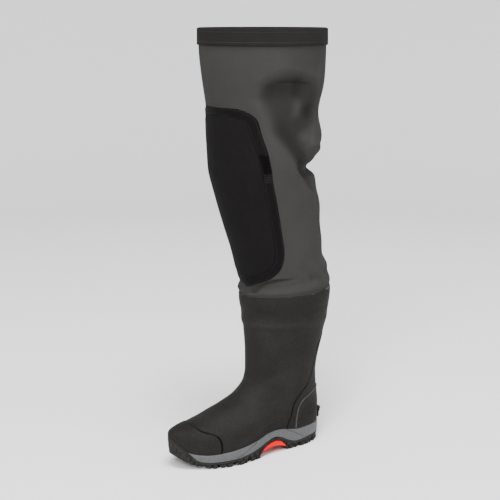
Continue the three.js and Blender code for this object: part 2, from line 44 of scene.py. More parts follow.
# Sole: millimetres, and shares of its length for where it bends. Its outline tables go from the heel's back
# to the toe and give the half width's fullness; its side table gives heights as shares of the stack.
sole = {
    "length": 302, "setback": 42, "width": 112, "bend": 8, "bendFrom": 0.45, "bendRun": 0.55, "stack": 36,
    "rim": 6,
}
outlineRows = {
    "along": [0.0, 0.08, 0.18, 0.32, 0.44, 0.56, 0.68, 0.8, 0.92, 1.0],
    "outer": [1.14, 1.02, 0.87, 0.74, 0.76, 0.9, 1.04, 1.05, 1.0, 0.96],
    "inner": [1.14, 1.02, 0.86, 0.68, 0.63, 0.76, 0.99, 1.09, 1.1, 1.06],
}
sideRows = {
    "along": [0.0, 0.04, 0.14, 0.19, 0.235, 0.285, 0.34, 0.385, 0.44, 0.5,
              0.57, 0.65, 0.72, 0.79, 0.84, 0.89, 0.93, 0.965, 1.0],
    "floor": [0.27, 0.25, 0.25, 0.25, 0.26, 0.4, 0.64, 0.74, 0.66, 0.47,
              0.3, 0.25, 0.24, 0.24, 0.28, 0.4, 0.55, 0.73, 1.05],
    "band": [0.5, 0.49, 0.44, 0.39, 0.39, 0.53, 0.76, 0.85, 0.77, 0.61,
             0.48, 0.4, 0.36, 0.34, 0.36, 0.48, 0.84, 1.2, 1.6],
    "feather": [1.04, 1.02, 1.0, 0.99, 1.0, 1.07, 1.15, 1.16, 1.11, 0.98,
                0.88, 0.81, 0.75, 0.71, 0.71, 0.77, 0.88, 1.14, 1.44],
}

# Boot: its rings go from the feather line, rise 0, to the collar. Front and back are shares of the sole's
# length, their Up rows shares of the boot's height, and width, heel and last shape the oval.
boot = {
    "ledge": 3, "wall": 4.5, "height": 285, "ridge": 1.5, "ridgeRise": 13.75, "ridgeSpan": 0.4,
    "heelShare": 0.6, "featherRise": 0.6,
}
upperRows = {
    "rise": list(range(17)),
    "front": [1.0, 1.004, 0.996, 0.962, 0.91, 0.84, 0.76, 0.68, 0.58, 0.511,
              0.485, 0.481, 0.478, 0.48, 0.49, 0.503, 0.505],
    "frontUp": [0.183, 0.208, 0.226, 0.24, 0.251, 0.266, 0.29, 0.322, 0.368, 0.428,
                0.495, 0.56, 0.639, 0.737, 0.842, 0.933, 0.986],
    "back": [0.0, -0.004, -0.009, -0.012, -0.012, -0.011, -0.008, -0.004, 0.002, 0.009,
             0.016, 0.018, 0.008, -0.02, -0.048, -0.064, -0.066],
    "backUp": [0.133, 0.19, 0.2175, 0.239, 0.26, 0.277, 0.298, 0.319, 0.347, 0.382,
               0.425, 0.481, 0.575, 0.7, 0.842, 0.954, 1.018],
    "width": [1.0, 0.985, 0.97, 0.94, 0.92, 0.9, 0.88, 0.86, 0.85, 0.85,
              0.86, 0.88, 0.95, 1.07, 1.2, 1.28, 1.29],
    "heel": [1.0, 0.8, 0.77, 0.76, 0.76, 0.77, 0.79, 0.82, 0.86, 0.9, 0.94, 0.97, 1, 1, 1, 1, 1],
    "last": [1, 0.85, 0.55, 0.35, 0.2, 0.1, 0, 0, 0, 0, 0, 0, 0, 0, 0, 0, 0],
}

# Leg: its rings go from the collar, rise 0, to the thigh. Front and back are shares of the leg's depth,
# their Up rows shares of its top's height, and width is a share of its width.
leg = {"top": 730, "wall": 4, "depth": 207, "width": 220, "lapShare": 1.2, "lapRings": 2}
legRows = {
    "rise": list(range(17)),
    "front": [0.512, 0.541, 0.522, 0.527, 0.552, 0.592, 0.650, 0.706, 0.749, 0.785,
              0.787, 0.797, 0.804, 0.799, 0.836, 0.864, 0.865],
    "frontUp": [0.388, 0.395, 0.407, 0.422, 0.452, 0.493, 0.541, 0.589, 0.633, 0.671,
                0.696, 0.722, 0.767, 0.822, 0.884, 0.945, 1.0],
    "back": [-0.256, -0.275, -0.245, -0.236, -0.180, -0.169, -0.146, -0.139, -0.093, -0.062,
             0.029, -0.061, -0.123, -0.066, -0.123, -0.138, -0.136],
    "backUp": [0.400, 0.412, 0.436, 0.452, 0.479, 0.515, 0.555, 0.599, 0.637, 0.668,
               0.689, 0.712, 0.756, 0.816, 0.881, 0.945, 1.0],
    "width": [0.618, 0.668, 0.650, 0.664, 0.673, 0.691, 0.714, 0.745, 0.782, 0.809,
              0.823, 0.845, 0.891, 0.936, 0.973, 0.995, 1.0],
}


# A smooth curve through one column of a table: a cubic between rows, whose slope at each row is that
# from the row before to the row after.
def alongRows(rows, key, column, place):
    keys, values = (np.asarray(rows[k], float) for k in (key, column))
    slopes = np.empty_like(values)
    slopes[1:-1] = (values[2:] - values[:-2]) / (keys[2:] - keys[:-2])
    slopes[0] = (values[1] - values[0]) / (keys[1] - keys[0])
    slopes[-1] = (values[-1] - values[-2]) / (keys[-1] - keys[-2])
    spot = np.clip(place, keys[0], keys[-1])
    i = np.clip(np.searchsorted(keys, spot) - 1, 0, len(keys) - 2)
    span = keys[i + 1] - keys[i]
    t = (spot - keys[i]) / span
    blend = t * t * (3 - 2 * t)
    pull = t * (1 - t) * span * ((1 - t) * slopes[i] - t * slopes[i + 1])
    return values[i] + (values[i + 1] - values[i]) * blend + pull


def mix(a, b, t):
    return a + (b - a) * t


# A step from 0 to 1 with soft ends: three t squared less two t cubed.
def ease(t):
    t = np.clip(t, 0, 1)
    return t * t * (3 - 2 * t)


def place(x, y, z):
    return np.stack(np.broadcast_arrays(x, y, z), -1)


def soleX(share):
    return sole["setback"] - share * sole["length"]


# Height of one of the side table's lines at a place along the sole.
def soleHeight(column, x):
    share = np.clip((sole["setback"] - x) / sole["length"], 0, 1)
    return sole["stack"] * alongRows(sideRows, "along", column, share)


# The sole's middle line: it swings to the inner side over the forefoot.
def bendAt(x):
    share = (sole["setback"] - x) / sole["length"]
    return sole["bend"] * ease((share - sole["bendFrom"]) / sole["bendRun"])


# The sole's outline. The turn runs from the heel's back by the outer side to the toe and home, and the
# half width is the table's fullness times the sine of the turn.
def fullnessAt(turn):
    angle = turn * 2 * np.pi
    share = (1 - np.cos(angle)) / 2
    outer = alongRows(outlineRows, "along", "outer", share)
    inner = alongRows(outlineRows, "along", "inner", share)
    return share, np.sin(angle), np.where(np.sin(angle) >= 0, outer, inner) * sole["width"] / 2


def outlineEdge(turn):
    share, sine, fullness = fullnessAt(turn)
    x = soleX(share)
    return np.stack([x, bendAt(x) - sine * fullness], -1)


# A point of the outline moved inwards, square to the edge.
def outlinePoint(turn, inset):
    along = outlineEdge(turn + smallStep) - outlineEdge(turn - smallStep)
    along /= np.linalg.norm(along, axis=-1, keepdims=True)
    edge = outlineEdge(turn)
    return edge[..., 0] + along[..., 1] * inset, edge[..., 1] - along[..., 0] * inset


# The upper's outer face: an oval ring at each rise, which starts as the sole's outline.
def upperFace(turn, rise):
    at = {c: alongRows(upperRows, "rise", c, rise) for c in upperRows if c != "rise"}
    share, sine, fullness = fullnessAt(turn)
    outline = 2 * fullness - 2 * boot["ledge"]
    plain = sole["width"] * at["width"] * mix(at["heel"], 1, ease(share / boot["heelShare"]))
    ridge = boot["ridge"] * ease(1 - np.abs(rise - boot["ridgeRise"]) / boot["ridgeSpan"])
    half = mix(plain, outline, at["last"]) / 2 + ridge
    upperX = lambda s: soleX(s) + boot["ledge"] * (2 * s - 1) ** 3
    x = upperX(mix(at["back"], at["front"], share))
    feather = lambda s: soleHeight("feather", upperX(s)) + gap
    sag = feather(share) - mix(feather(0), feather(1), share)
    lift = np.clip(rise, 0, 1)
    backZ = mix(feather(0), boot["height"] * at["backUp"], lift)
    frontZ = mix(feather(1), boot["height"] * at["frontUp"], lift)
    z = mix(backZ, frontZ, share) + sag * at["last"]
    return place(x + ridge * np.cos(turn * 2 * np.pi), bendAt(x) - sine * half, z)


# The outward normal of a face, from its slopes along turn and rise. At the boot's feather line it is level.
def normalAt(face, turn, rise):
    alongTurn = face(turn + smallStep, rise) - face(turn - smallStep, rise)
    alongRise = face(turn, rise + smallStep) - face(turn, rise - smallStep)
    normal = np.cross(alongRise, alongTurn)
    if face is upperFace:
        normal[..., 2] *= ease(np.broadcast_to(rise, normal.shape[:-1]) / boot["featherRise"])
    return normal / np.linalg.norm(normal, axis=-1, keepdims=True)


# A face moved out by a distance along its normal.
def offsetFace(face, turn, rise, distance):
    return face(turn, rise) + normalAt(face, turn, rise) * np.asarray(distance)[..., None]


# The leg's outer face: an oval ring at each rise. Below rise 0 it laps down inside the boot's collar.
def legFace(turn, rise):
    at = {c: alongRows(legRows, "rise", c, rise) for c in legRows if c != "rise"}
    share, sine, _ = fullnessAt(turn)
    x = -leg["depth"] * mix(at["back"], at["front"], share)
    y = -sine * leg["width"] * at["width"] / 2
    z = leg["top"] * mix(at["backUp"], at["frontUp"], share)
    down = np.minimum(rise, 0) / leg["lapRings"] * leg["lapShare"]
    inside = offsetFace(upperFace, turn, upperRows["rise"][-1] + down, -(boot["wall"] + gap))
    inside[..., 2] += gap * (2 + np.maximum(rise, 0))
    return mix(inside, place(x, y, z), ease(rise)[..., None])


# A smooth line through given points, with a point about every step, in millimetres.
def smoothLine(points, step=1.5, closed=False):
    points = np.asarray(points, float)
    if closed:
        points = np.concatenate([points, points[:1]])
    far = np.concatenate([[0], np.cumsum(np.linalg.norm(np.diff(points, axis=0), axis=1))])
    rows = {"far": far, **{str(i): points[:, i] for i in range(points.shape[1])}}
    spots = np.linspace(0, far[-1], max(int(far[-1] / step), 2) + 1)
    return np.stack([alongRows(rows, "far", str(i), spots) for i in range(points.shape[1])], -1)


# Distance from points to a line in two dimensions, and how far along the line the nearest place is.
def lineDistance(points, line):
    best = np.full(points.shape[:-1], np.inf)
    along = np.zeros(points.shape[:-1])
    run = 0.0
    for a, b in zip(line[:-1], line[1:]):
        edge = b - a
        length = np.linalg.norm(edge)
        t = np.clip(((points - a) @ edge) / length ** 2, 0, 1)
        d = np.linalg.norm(points - a - t[..., None] * edge, axis=-1)
        nearer = d < best
        best = np.where(nearer, d, best)
        along = np.where(nearer, run + t * length, along)
        run += length
    return best, along


# Distance to a closed outline: positive inside it, negative outside.
def insideDistance(points, outline):
    best, along = lineDistance(points, outline)
    x, y = points[..., 0], points[..., 1]
    inside = np.zeros(points.shape[:-1], bool)
    ring = np.concatenate([outline, outline[:1]])
    for (ax, ay), (bx, by) in zip(ring[:-1], ring[1:]):
        crosses = (ay > y) != (by > y)
        reach = ax + (y - ay) / np.where(by == ay, 1e-9, by - ay) * (bx - ax)
        inside ^= crosses & (x < reach)
    return np.where(inside, best, -best), along


# Soft troughs and ridges, listed one by one. Each adds its height times a bell of the distance from its
# line, seen from the side. A dish has a closed line and adds its height times an ease of the distance inside
# it.
# Side is which side of the leg or boot it lies on, and fade is the share of its length over which it dies
# out at each end, or a pair for start and end, where 0 at the start keeps it whole there.
foldShape = {"sideBlend": 24, "lineStep": 4}


def folds(points, table):
    height = np.zeros(points.shape[:-1])
    middle = points[..., 1].mean(axis=1, keepdims=True)
    flat = points[..., [0, 2]]
    for fold in table:
        way = {"outer": -1, "inner": 1}.get(fold["side"])
        share = 1 if way is None else ease((points[..., 1] - middle) * way / foldShape["sideBlend"] + 0.5)
        line = smoothLine(fold["line"], foldShape["lineStep"], closed=fold.get("dish", False))
        if fold.get("dish"):
            d, _ = insideDistance(flat, line)
            height += fold["height"] * ease(d / fold["width"] + 0.5) * share
            continue
        d, along = lineDistance(flat, line)
        if fold.get("fade"):
            length = np.linalg.norm(np.diff(line, axis=0), axis=1).sum()
            start, end = np.broadcast_to(fold["fade"], 2) * length
            share = share * (ease(along / start) if start else 1) * ease((length - along) / end)
        height += fold["height"] * np.exp(-(d / fold["width"]) ** 2) * share
    return height


# A mesh from a lattice of points, rows by columns. It closes round the columns, and round the rows where
# asked. Keep leaves out the places where it is false. Flat holds its maps, each by lengths across and up.
def latticeMesh(name, points, wrap=True, loop=False, keep=None, flat=None, values=None):
    rows, columns = points.shape[:2]
    index = np.arange(rows * columns).reshape(rows, columns)
    if loop:
        index = np.concatenate([index, index[:1]])
    if wrap:
        index = np.concatenate([index, index[:, :1]], axis=1)
    corners = [index[:-1, :-1], index[1:, :-1], index[1:, 1:], index[:-1, 1:]]
    quads = np.stack(corners, -1).reshape(-1, 4)
    r, c = np.meshgrid(np.arange(index.shape[0]), np.arange(index.shape[1]), indexing="ij")
    spots = [np.stack([g[:-1, :-1], g[1:, :-1], g[1:, 1:], g[:-1, 1:]], -1).reshape(-1, 4) for g in (r, c)]
    if keep is not None:
        chosen = keep.reshape(-1)[quads].all(axis=1)
        quads, spots = quads[chosen], [s[chosen] for s in spots]
    used, quads = np.unique(quads, return_inverse=True)
    quads = quads.reshape(-1, 4)
    mesh = bpy.data.meshes.new(name)
    mesh.from_pydata((points.reshape(-1, 3)[used] * mm).tolist(), [], quads.tolist())
    for title, (u, v) in (flat or {}).items():
        layer = mesh.uv_layers.new(name=title)
        if u.ndim == 1:
            uv = np.stack([u[spots[1]], v[spots[0]]], -1)
        else:
            uv = np.stack([u.reshape(-1)[used][quads], v.reshape(-1)[used][quads]], -1)
        layer.data.foreach_set("uv", (uv * mm).astype(np.float32).ravel())
    for key, value in (values or {}).items():
        attribute = mesh.attributes.new(key, "FLOAT", "POINT")
        attribute.data.foreach_set("value", value.reshape(-1)[used].astype(np.float32))
    mesh.shade_smooth()
    made = bpy.data.objects.new(name, mesh)
    bpy.context.collection.objects.link(made)
    return made


# Gives a piece its material, says what it rides on, and hides the CAD parts that it stands for.
def finishPiece(piece, nodes, material):
    piece.data.materials.clear()
    piece.data.materials.append(material)
    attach(piece, "root")
    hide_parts(*nodes)
    print("made", piece.name, len(piece.data.polygons))


# Mean lengths across and up a lattice, summed from its first column and row, for its flat map.
def flatLengths(points):
    across = np.linalg.norm(np.diff(points, axis=1, append=points[:, :1]), axis=-1).mean(axis=0)
    up = np.linalg.norm(np.diff(points, axis=0), axis=-1).mean(axis=1)
    return np.concatenate([[0], np.cumsum(across)]), np.concatenate([[0], np.cumsum(up)])


# Shader groups
def makeGroup(name, inputs, outputs):
    tree = bpy.data.node_groups.new(name, "ShaderNodeTree")
    for label, kind, value in inputs:
        socket = tree.interface.new_socket(name=label, in_out="INPUT", socket_type="NodeSocket" + kind)
        if value is not None:
            socket.default_value = value
    for label, kind in outputs:
        tree.interface.new_socket(name=label, in_out="OUTPUT", socket_type="NodeSocket" + kind)
    return tree, tree.nodes.new("NodeGroupInput"), tree.nodes.new("NodeGroupOutput")


def addNode(tree, kind, **settings):
    made = tree.nodes.new("ShaderNode" + kind)
    for key, value in settings.items():
        setattr(made, key, value)
    return made


def maths(tree, operation, a, b=None, c=None):
    made = addNode(tree, "Math", operation=operation)
    for i, value in enumerate((a, b, c)):
        if value is None:
            continue
        if isinstance(value, (int, float)):
            made.inputs[i].default_value = value
        else:
            tree.links.new(value, made.inputs[i])
    return made.outputs[0]


# Grain: fine bumps of rubber. Size is grains in a metre, height in metres.
def grainGroup():
    tree, start, end = makeGroup("grain", [("Place", "Vector", None), ("Size", "Float", 900.0),
                                           ("Height", "Float", 0.0002)],
                                 [("Normal", "Vector")])
    noise = addNode(tree, "TexNoise")
    noise.inputs["Detail"].default_value = 3
    tree.links.new(start.outputs["Place"], noise.inputs["Vector"])
    tree.links.new(start.outputs["Size"], noise.inputs["Scale"])
    bump = addNode(tree, "Bump")
    tree.links.new(noise.outputs["Fac"], bump.inputs["Height"])
    tree.links.new(start.outputs["Height"], bump.inputs["Distance"])
    tree.links.new(bump.outputs["Normal"], end.inputs["Normal"])
    return tree


# Mottle: cloudy light and dark in a colour. Its value is 1 plus four times the amount times a centred noise.
def mottleGroup():
    tree, start, end = makeGroup("mottle", [("Colour", "Color", None), ("Place", "Vector", None),
                                            ("Size", "Float", 14.0), ("Amount", "Float", 0.2)],
                                 [("Colour", "Color")])
    noise = addNode(tree, "TexNoise")
    noise.inputs["Detail"].default_value = 5
    tree.links.new(start.outputs["Place"], noise.inputs["Vector"])
    tree.links.new(start.outputs["Size"], noise.inputs["Scale"])
    centred = maths(tree, "SUBTRACT", noise.outputs["Fac"], 0.5)
    swing = maths(tree, "MULTIPLY", centred, start.outputs["Amount"])
    value = maths(tree, "MULTIPLY_ADD", swing, 4.0, 1.0)
    shift = addNode(tree, "HueSaturation")
    tree.links.new(value, shift.inputs["Value"])
    tree.links.new(start.outputs["Colour"], shift.inputs["Color"])
    tree.links.new(shift.outputs["Color"], end.inputs["Colour"])
    return tree


# Speckle: small patches of a surface that are duller or glossier.
def speckleGroup():
    tree, start, end = makeGroup("speckle", [("Place", "Vector", None), ("Size", "Float", 320.0),
                                             ("Roughness", "Float", 0.5), ("Swing", "Float", 0.3)],
                                 [("Roughness", "Float")])
    noise = addNode(tree, "TexNoise")
    noise.inputs["Detail"].default_value = 4
    tree.links.new(start.outputs["Place"], noise.inputs["Vector"])
    tree.links.new(start.outputs["Size"], noise.inputs["Scale"])
    centred = maths(tree, "SUBTRACT", noise.outputs["Fac"], 0.5)
    swing = maths(tree, "MULTIPLY_ADD", centred, start.outputs["Swing"], start.outputs["Roughness"])
    tree.links.new(swing, end.inputs["Roughness"])
    return tree


# Knit: rows of small loops, which are a wave across times a chevron wave along. Pitch is loops in a metre,
# and chevron is how far the loops lean, in radians.
def knitGroup(chevron=2.4):
    tree, start, end = makeGroup("knit", [("Flat", "Vector", None), ("Pitch", "Float", 700.0),
                                          ("Height", "Float", 0.00025)],
                                 [("Normal", "Vector")])
    split = addNode(tree, "SeparateXYZ")
    tree.links.new(start.outputs["Flat"], split.inputs[0])
    across = maths(tree, "MULTIPLY", split.outputs["X"], start.outputs["Pitch"])
    along = maths(tree, "MULTIPLY", split.outputs["Y"], start.outputs["Pitch"])
    wale = maths(tree, "ABSOLUTE", maths(tree, "SINE", maths(tree, "MULTIPLY", across, math.pi)))
    lean = maths(tree, "MULTIPLY", wale, chevron)
    lean = maths(tree, "ADD", maths(tree, "MULTIPLY", along, 2 * math.pi), lean)
    course = maths(tree, "MULTIPLY_ADD", maths(tree, "SINE", lean), 0.5, 0.5)
    height = maths(tree, "MULTIPLY", wale, course)
    bump = addNode(tree, "Bump")
    tree.links.new(height, bump.inputs["Height"])
    tree.links.new(start.outputs["Height"], bump.inputs["Distance"])
    tree.links.new(bump.outputs["Normal"], end.inputs["Normal"])
    return tree


# Stitches: a dashed line at a stated distance up the flat map. Each is Long and Wide, in metres. Dash is
# half the share of its length that a stitch fills, and groove is how many stitches wide the sunk line is.
def stitchGroup(dash=0.36, groove=2.4):
    tree, start, end = makeGroup("stitches", [("Flat", "Vector", None), ("Line", "Float", 0.004),
                                              ("Long", "Float", 0.0035), ("Wide", "Float", 0.0005)],
                                 [("Stitch", "Float"), ("Groove", "Float")])
    split = addNode(tree, "SeparateXYZ")
    tree.links.new(start.outputs["Flat"], split.inputs[0])
    off = maths(tree, "ABSOLUTE", maths(tree, "SUBTRACT", split.outputs["Y"], start.outputs["Line"]))
    near = maths(tree, "SUBTRACT", 1.0, maths(tree, "DIVIDE", off, start.outputs["Wide"]))
    near = maths(tree, "MAXIMUM", near, 0.0)
    beat = maths(tree, "FRACT", maths(tree, "DIVIDE", split.outputs["X"], start.outputs["Long"]))
    body = maths(tree, "LESS_THAN", maths(tree, "ABSOLUTE", maths(tree, "SUBTRACT", beat, 0.5)), dash)
    tree.links.new(maths(tree, "MULTIPLY", near, body), end.inputs["Stitch"])
    reach = maths(tree, "MULTIPLY", start.outputs["Wide"], groove)
    wide = maths(tree, "SUBTRACT", 1.0, maths(tree, "DIVIDE", off, reach))
    tree.links.new(maths(tree, "MAXIMUM", wide, 0.0), end.inputs["Groove"])
    return tree


grain, mottle, speckle = grainGroup(), mottleGroup(), speckleGroup()
knit, stitches = knitGroup(), stitchGroup()


def useGroup(tree, group, links=None, **values):
    made = tree.nodes.new("ShaderNodeGroup")
    made.node_tree = group
    for key, value in (links or {}).items():
        tree.links.new(value, made.inputs[key])
    for key, value in values.items():
        made.inputs[key].default_value = value
    return made


# A material's start: clouds, specks and patches of dullness, and its gloss, which is the same all over.
def newMaterial(name, colour, roughness, mottled, gloss, speckled, swing, specksInMetre=420.0):
    made = bpy.data.materials.new(name)
    made.use_nodes = True
    tree = made.node_tree
    shader = tree.nodes["Principled BSDF"]
    shader.inputs["Specular IOR Level"].default_value = gloss
    spot = addNode(tree, "TexCoord").outputs["Object"]
    clouds = useGroup(tree, mottle, {"Place": spot}, Colour=(*colour, 1), Amount=mottled)
    specks = useGroup(tree, mottle, {"Place": spot, "Colour": clouds.outputs["Colour"]}, Size=specksInMetre,
                      Amount=speckled)
    dull = useGroup(tree, speckle, {"Place": spot}, Roughness=roughness, Swing=swing)
    tree.links.new(dull.outputs["Roughness"], shader.inputs["Roughness"])
    return made, tree, shader, spot, specks.outputs["Colour"]


# Shades a colour by a value kept on the mesh: from one share of it at the low value to another at the high.
def shaded(tree, colour, value, low, high, lowShade, highShade):
    spot = addNode(tree, "Attribute", attribute_name=value)
    spread = addNode(tree, "MapRange", interpolation_type="SMOOTHSTEP")
    for key, number in zip(("From Min", "From Max", "To Min", "To Max"), (low, high, lowShade, highShade)):
        spread.inputs[key].default_value = number
    tree.links.new(spot.outputs["Fac"], spread.inputs[0])
    shade = addNode(tree, "HueSaturation")
    tree.links.new(spread.outputs[0], shade.inputs["Value"])
    tree.links.new(colour, shade.inputs["Color"])
    return shade.outputs["Color"]


# Rubber, foam or plastic with a fine grain. Size is grains in a metre, and height is their height in metres.
def rubber(name, colour, roughness, size=1100.0, height=0.00018, mottled=0.26, gloss=0.16, speckled=0.3,
           swing=0.35, shades=()):
    made, tree, shader, spot, paint = newMaterial(name, colour, roughness, mottled, gloss, speckled, swing)
    for shade in shades:
        paint = shaded(tree, paint, *shade)
    tree.links.new(paint, shader.inputs["Base Color"])
    bumps = useGroup(tree, grain, {"Place": spot}, Size=size, Height=height)
    tree.links.new(bumps.outputs["Normal"], shader.inputs["Normal"])
    return made


# Cloth with a knit, and rows of stitches at stated heights up one of its maps.
clothLook = {"mottled": 0.08, "gloss": 0.05, "speckled": 0.06, "swing": 0.2}
threadLook = {"cover": 1.6, "height": 1.2}


def cloth(name, colour, roughness, pitch=650.0, height=0.0003, rows=(), chart="flat",
          thread=(0.03, 0.03, 0.03), relief=0.0006, shades=()):
    made, tree, shader, spot, paint = newMaterial(name, colour, roughness, **clothLook)
    for shade in shades:
        paint = shaded(tree, paint, *shade)
    knitMap = addNode(tree, "UVMap", uv_map="flat").outputs["UV"]
    loops = useGroup(tree, knit, {"Flat": knitMap}, Pitch=pitch, Height=height)
    normal, raised, sunk = loops.outputs["Normal"], None, None
    rowMap = addNode(tree, "UVMap", uv_map=chart).outputs["UV"]
    for row in rows:
        line = useGroup(tree, stitches, {"Flat": rowMap}, Line=row)
        stitch, groove = line.outputs["Stitch"], line.outputs["Groove"]
        raised = stitch if raised is None else maths(tree, "MAXIMUM", raised, stitch)
        sunk = groove if sunk is None else maths(tree, "MAXIMUM", sunk, groove)
    if raised is not None:
        blend = addNode(tree, "MixRGB")
        cover = maths(tree, "MULTIPLY", raised, threadLook["cover"])
        tree.links.new(maths(tree, "MINIMUM", cover, 1.0), blend.inputs[0])
        tree.links.new(paint, blend.inputs[1])
        blend.inputs[2].default_value = (*thread, 1)
        paint = blend.outputs[0]
        bump = addNode(tree, "Bump")
        bump.inputs["Distance"].default_value = relief
        thick = maths(tree, "MULTIPLY", raised, threadLook["height"])
        tree.links.new(maths(tree, "SUBTRACT", thick, sunk), bump.inputs["Height"])
        tree.links.new(normal, bump.inputs["Normal"])
        normal = bump.outputs["Normal"]
    tree.links.new(paint, shader.inputs["Base Color"])
    tree.links.new(normal, shader.inputs["Normal"])
    return made


finishes = {
    "boot": (0.0126, 0.0119, 0.011), "cap": (0.0124, 0.0117, 0.0108), "counter": (0.0118, 0.0111, 0.0102),
    "tread": (0.0165, 0.015, 0.0135), "midsole": (0.058, 0.0592, 0.0606), "plate": (0.6, 0.002, 0.003),
    "leg": (0.0285, 0.0277, 0.0265), "pad": (0.0056, 0.005, 0.0051), "tape": (0.0034, 0.003, 0.003),
    "closure": (0.0012, 0.0012, 0.0012), "hem": (0.012, 0.0112, 0.0106), "insole": (0.03, 0.03, 0.031),
}
# The boot's rubber is lighter in a band on the collar's ridge, a painted highlight, darker above it, and
# lighter at glue spots along the collar's edge.
bootRubber = rubber("boot_rubber", finishes["boot"], 0.64, gloss=0.05,
                    shades=[("high", 13.9, 14.4, 1.0, 0.86), ("ring", 0.2, 1.0, 1.0, 1.2),
                            ("glue", 0.1, 0.8, 1.0, 8.0)])
# The toe cap's rubber is darkened just inside its edge and along the edge over the toe's top: painted shade
# at its step down to the upper.
capRubber = rubber("cap_rubber", finishes["cap"], 0.64, gloss=0.05,
                   shades=[("inside", 0.4, 1.3, 0.08, 1.0), ("capShade", 0.2, 0.8, 1.0, 0.05)])
# The counter's rubber is darkened along its edge, painted shade, and lightened along its bead, a painted
# highlight.
counterRubber = rubber("counter_rubber", finishes["counter"], 0.64, gloss=0.05,
                       shades=[("counterShade", 0.2, 1.4, 0.2, 1.0), ("bead", 0.2, 0.8, 1.0, 4.0)])
# The tread's rubber is darker in its slots and in the cuts between lugs: painted shade in the recesses.
treadRubber = rubber("tread_rubber", finishes["tread"], 0.9, size=240.0, height=0.0014, mottled=0.3,
                     gloss=0.15, speckled=0.4, shades=[("slot", 0.15, 0.9, 1.0, 0.35)])
# The foam is darker along its sunk lines: painted shade in the grooves.
midsoleFoam = rubber("midsole_foam", finishes["midsole"], 0.6, size=1500.0, height=0.0001, mottled=0.05,
                     gloss=0.3, shades=[("line", 0.15, 0.8, 1.0, 0.3)])
platePlastic = rubber("plate_plastic", finishes["plate"], 0.5, size=1500.0, height=0.00005, mottled=0.03,
                      gloss=0.06, speckled=0.03, swing=0.1)
# The leg's cloth darkens with the depth of its folds: painted shade in the hollows and troughs.
legCloth = cloth("leg_cloth", finishes["leg"], 0.85, shades=[("lift", -13.0, -0.5, 0.42, 1.0)])
padCloth = cloth("pad_cloth", finishes["pad"], 0.8, pitch=480.0)
# The tape's colour is lighter on its ribs' crests: a painted highlight.
tapeCloth = cloth("tape_cloth", finishes["tape"], 0.7, pitch=900.0, height=0.00015, rows=(0.002, 0.0098),
                  chart="edge", thread=(0.012, 0.011, 0.011), relief=0.0003,
                  shades=[("rib", 0.1, 0.9, 1.0, 3.0)])
closureRubber = rubber("closure_rubber", finishes["closure"], 0.8, size=900.0, height=0.0002, gloss=0.05)
hemCloth = cloth("hem_cloth", finishes["hem"], 0.85, pitch=800.0, rows=(0.008, 0.024))
insoleCloth = rubber("insole_cloth", finishes["insole"], 0.95, size=1400.0, height=0.0003)

# Upper: the outer face, a rounded collar edge and the inner wall in one closed lattice.
upperShape = {
    "columns": 320, "outerRows": 216, "edgeRows": 5, "innerRows": 50, "lipRise": 0.25, "lipTaper": 1.2,
    "lipBow": 0.15, "foldRise": 1.5, "ringSpan": 0.22,
}
# Spots of glue along the collar's edge, each with its turn, its half length in turns and its strength.
glue = {
    "soft": 0.006, "rise": 0.16, "rough": 0.25, "waves": (611, 947),
    "spots": [(0.14, 0.03, 1.0), (0.212, 0.012, 0.45), (0.236, 0.01, 0.7), (0.322, 0.008, 0.35),
              (0.53, 0.012, 0.7)],
}
upperFolds = [
    {"line": [(-113, 118), (-96, 132), (-70, 140)], "height": -1.2, "width": 9, "side": "outer"},
    {"line": [(-92, 96), (-60, 112), (-34, 132)], "height": -1.0, "width": 8, "side": "outer"},
    {"line": [(-80, 128), (-50, 144)], "height": 0.8, "width": 7, "side": "outer"},
    {"line": [(-104, 252), (-40, 256), (30, 262)], "height": -0.6, "width": 5, "side": "both"},
    {"line": [(-104, 222), (-40, 224), (40, 230)], "height": -0.4, "width": 5, "side": "both"},
    {"line": [(-150, 84), (-120, 96)], "height": -0.8, "width": 9, "side": "both"},
    {"line": [(-90, 180), (-40, 176), (10, 184)], "height": -0.5, "width": 10, "side": "outer"},
]


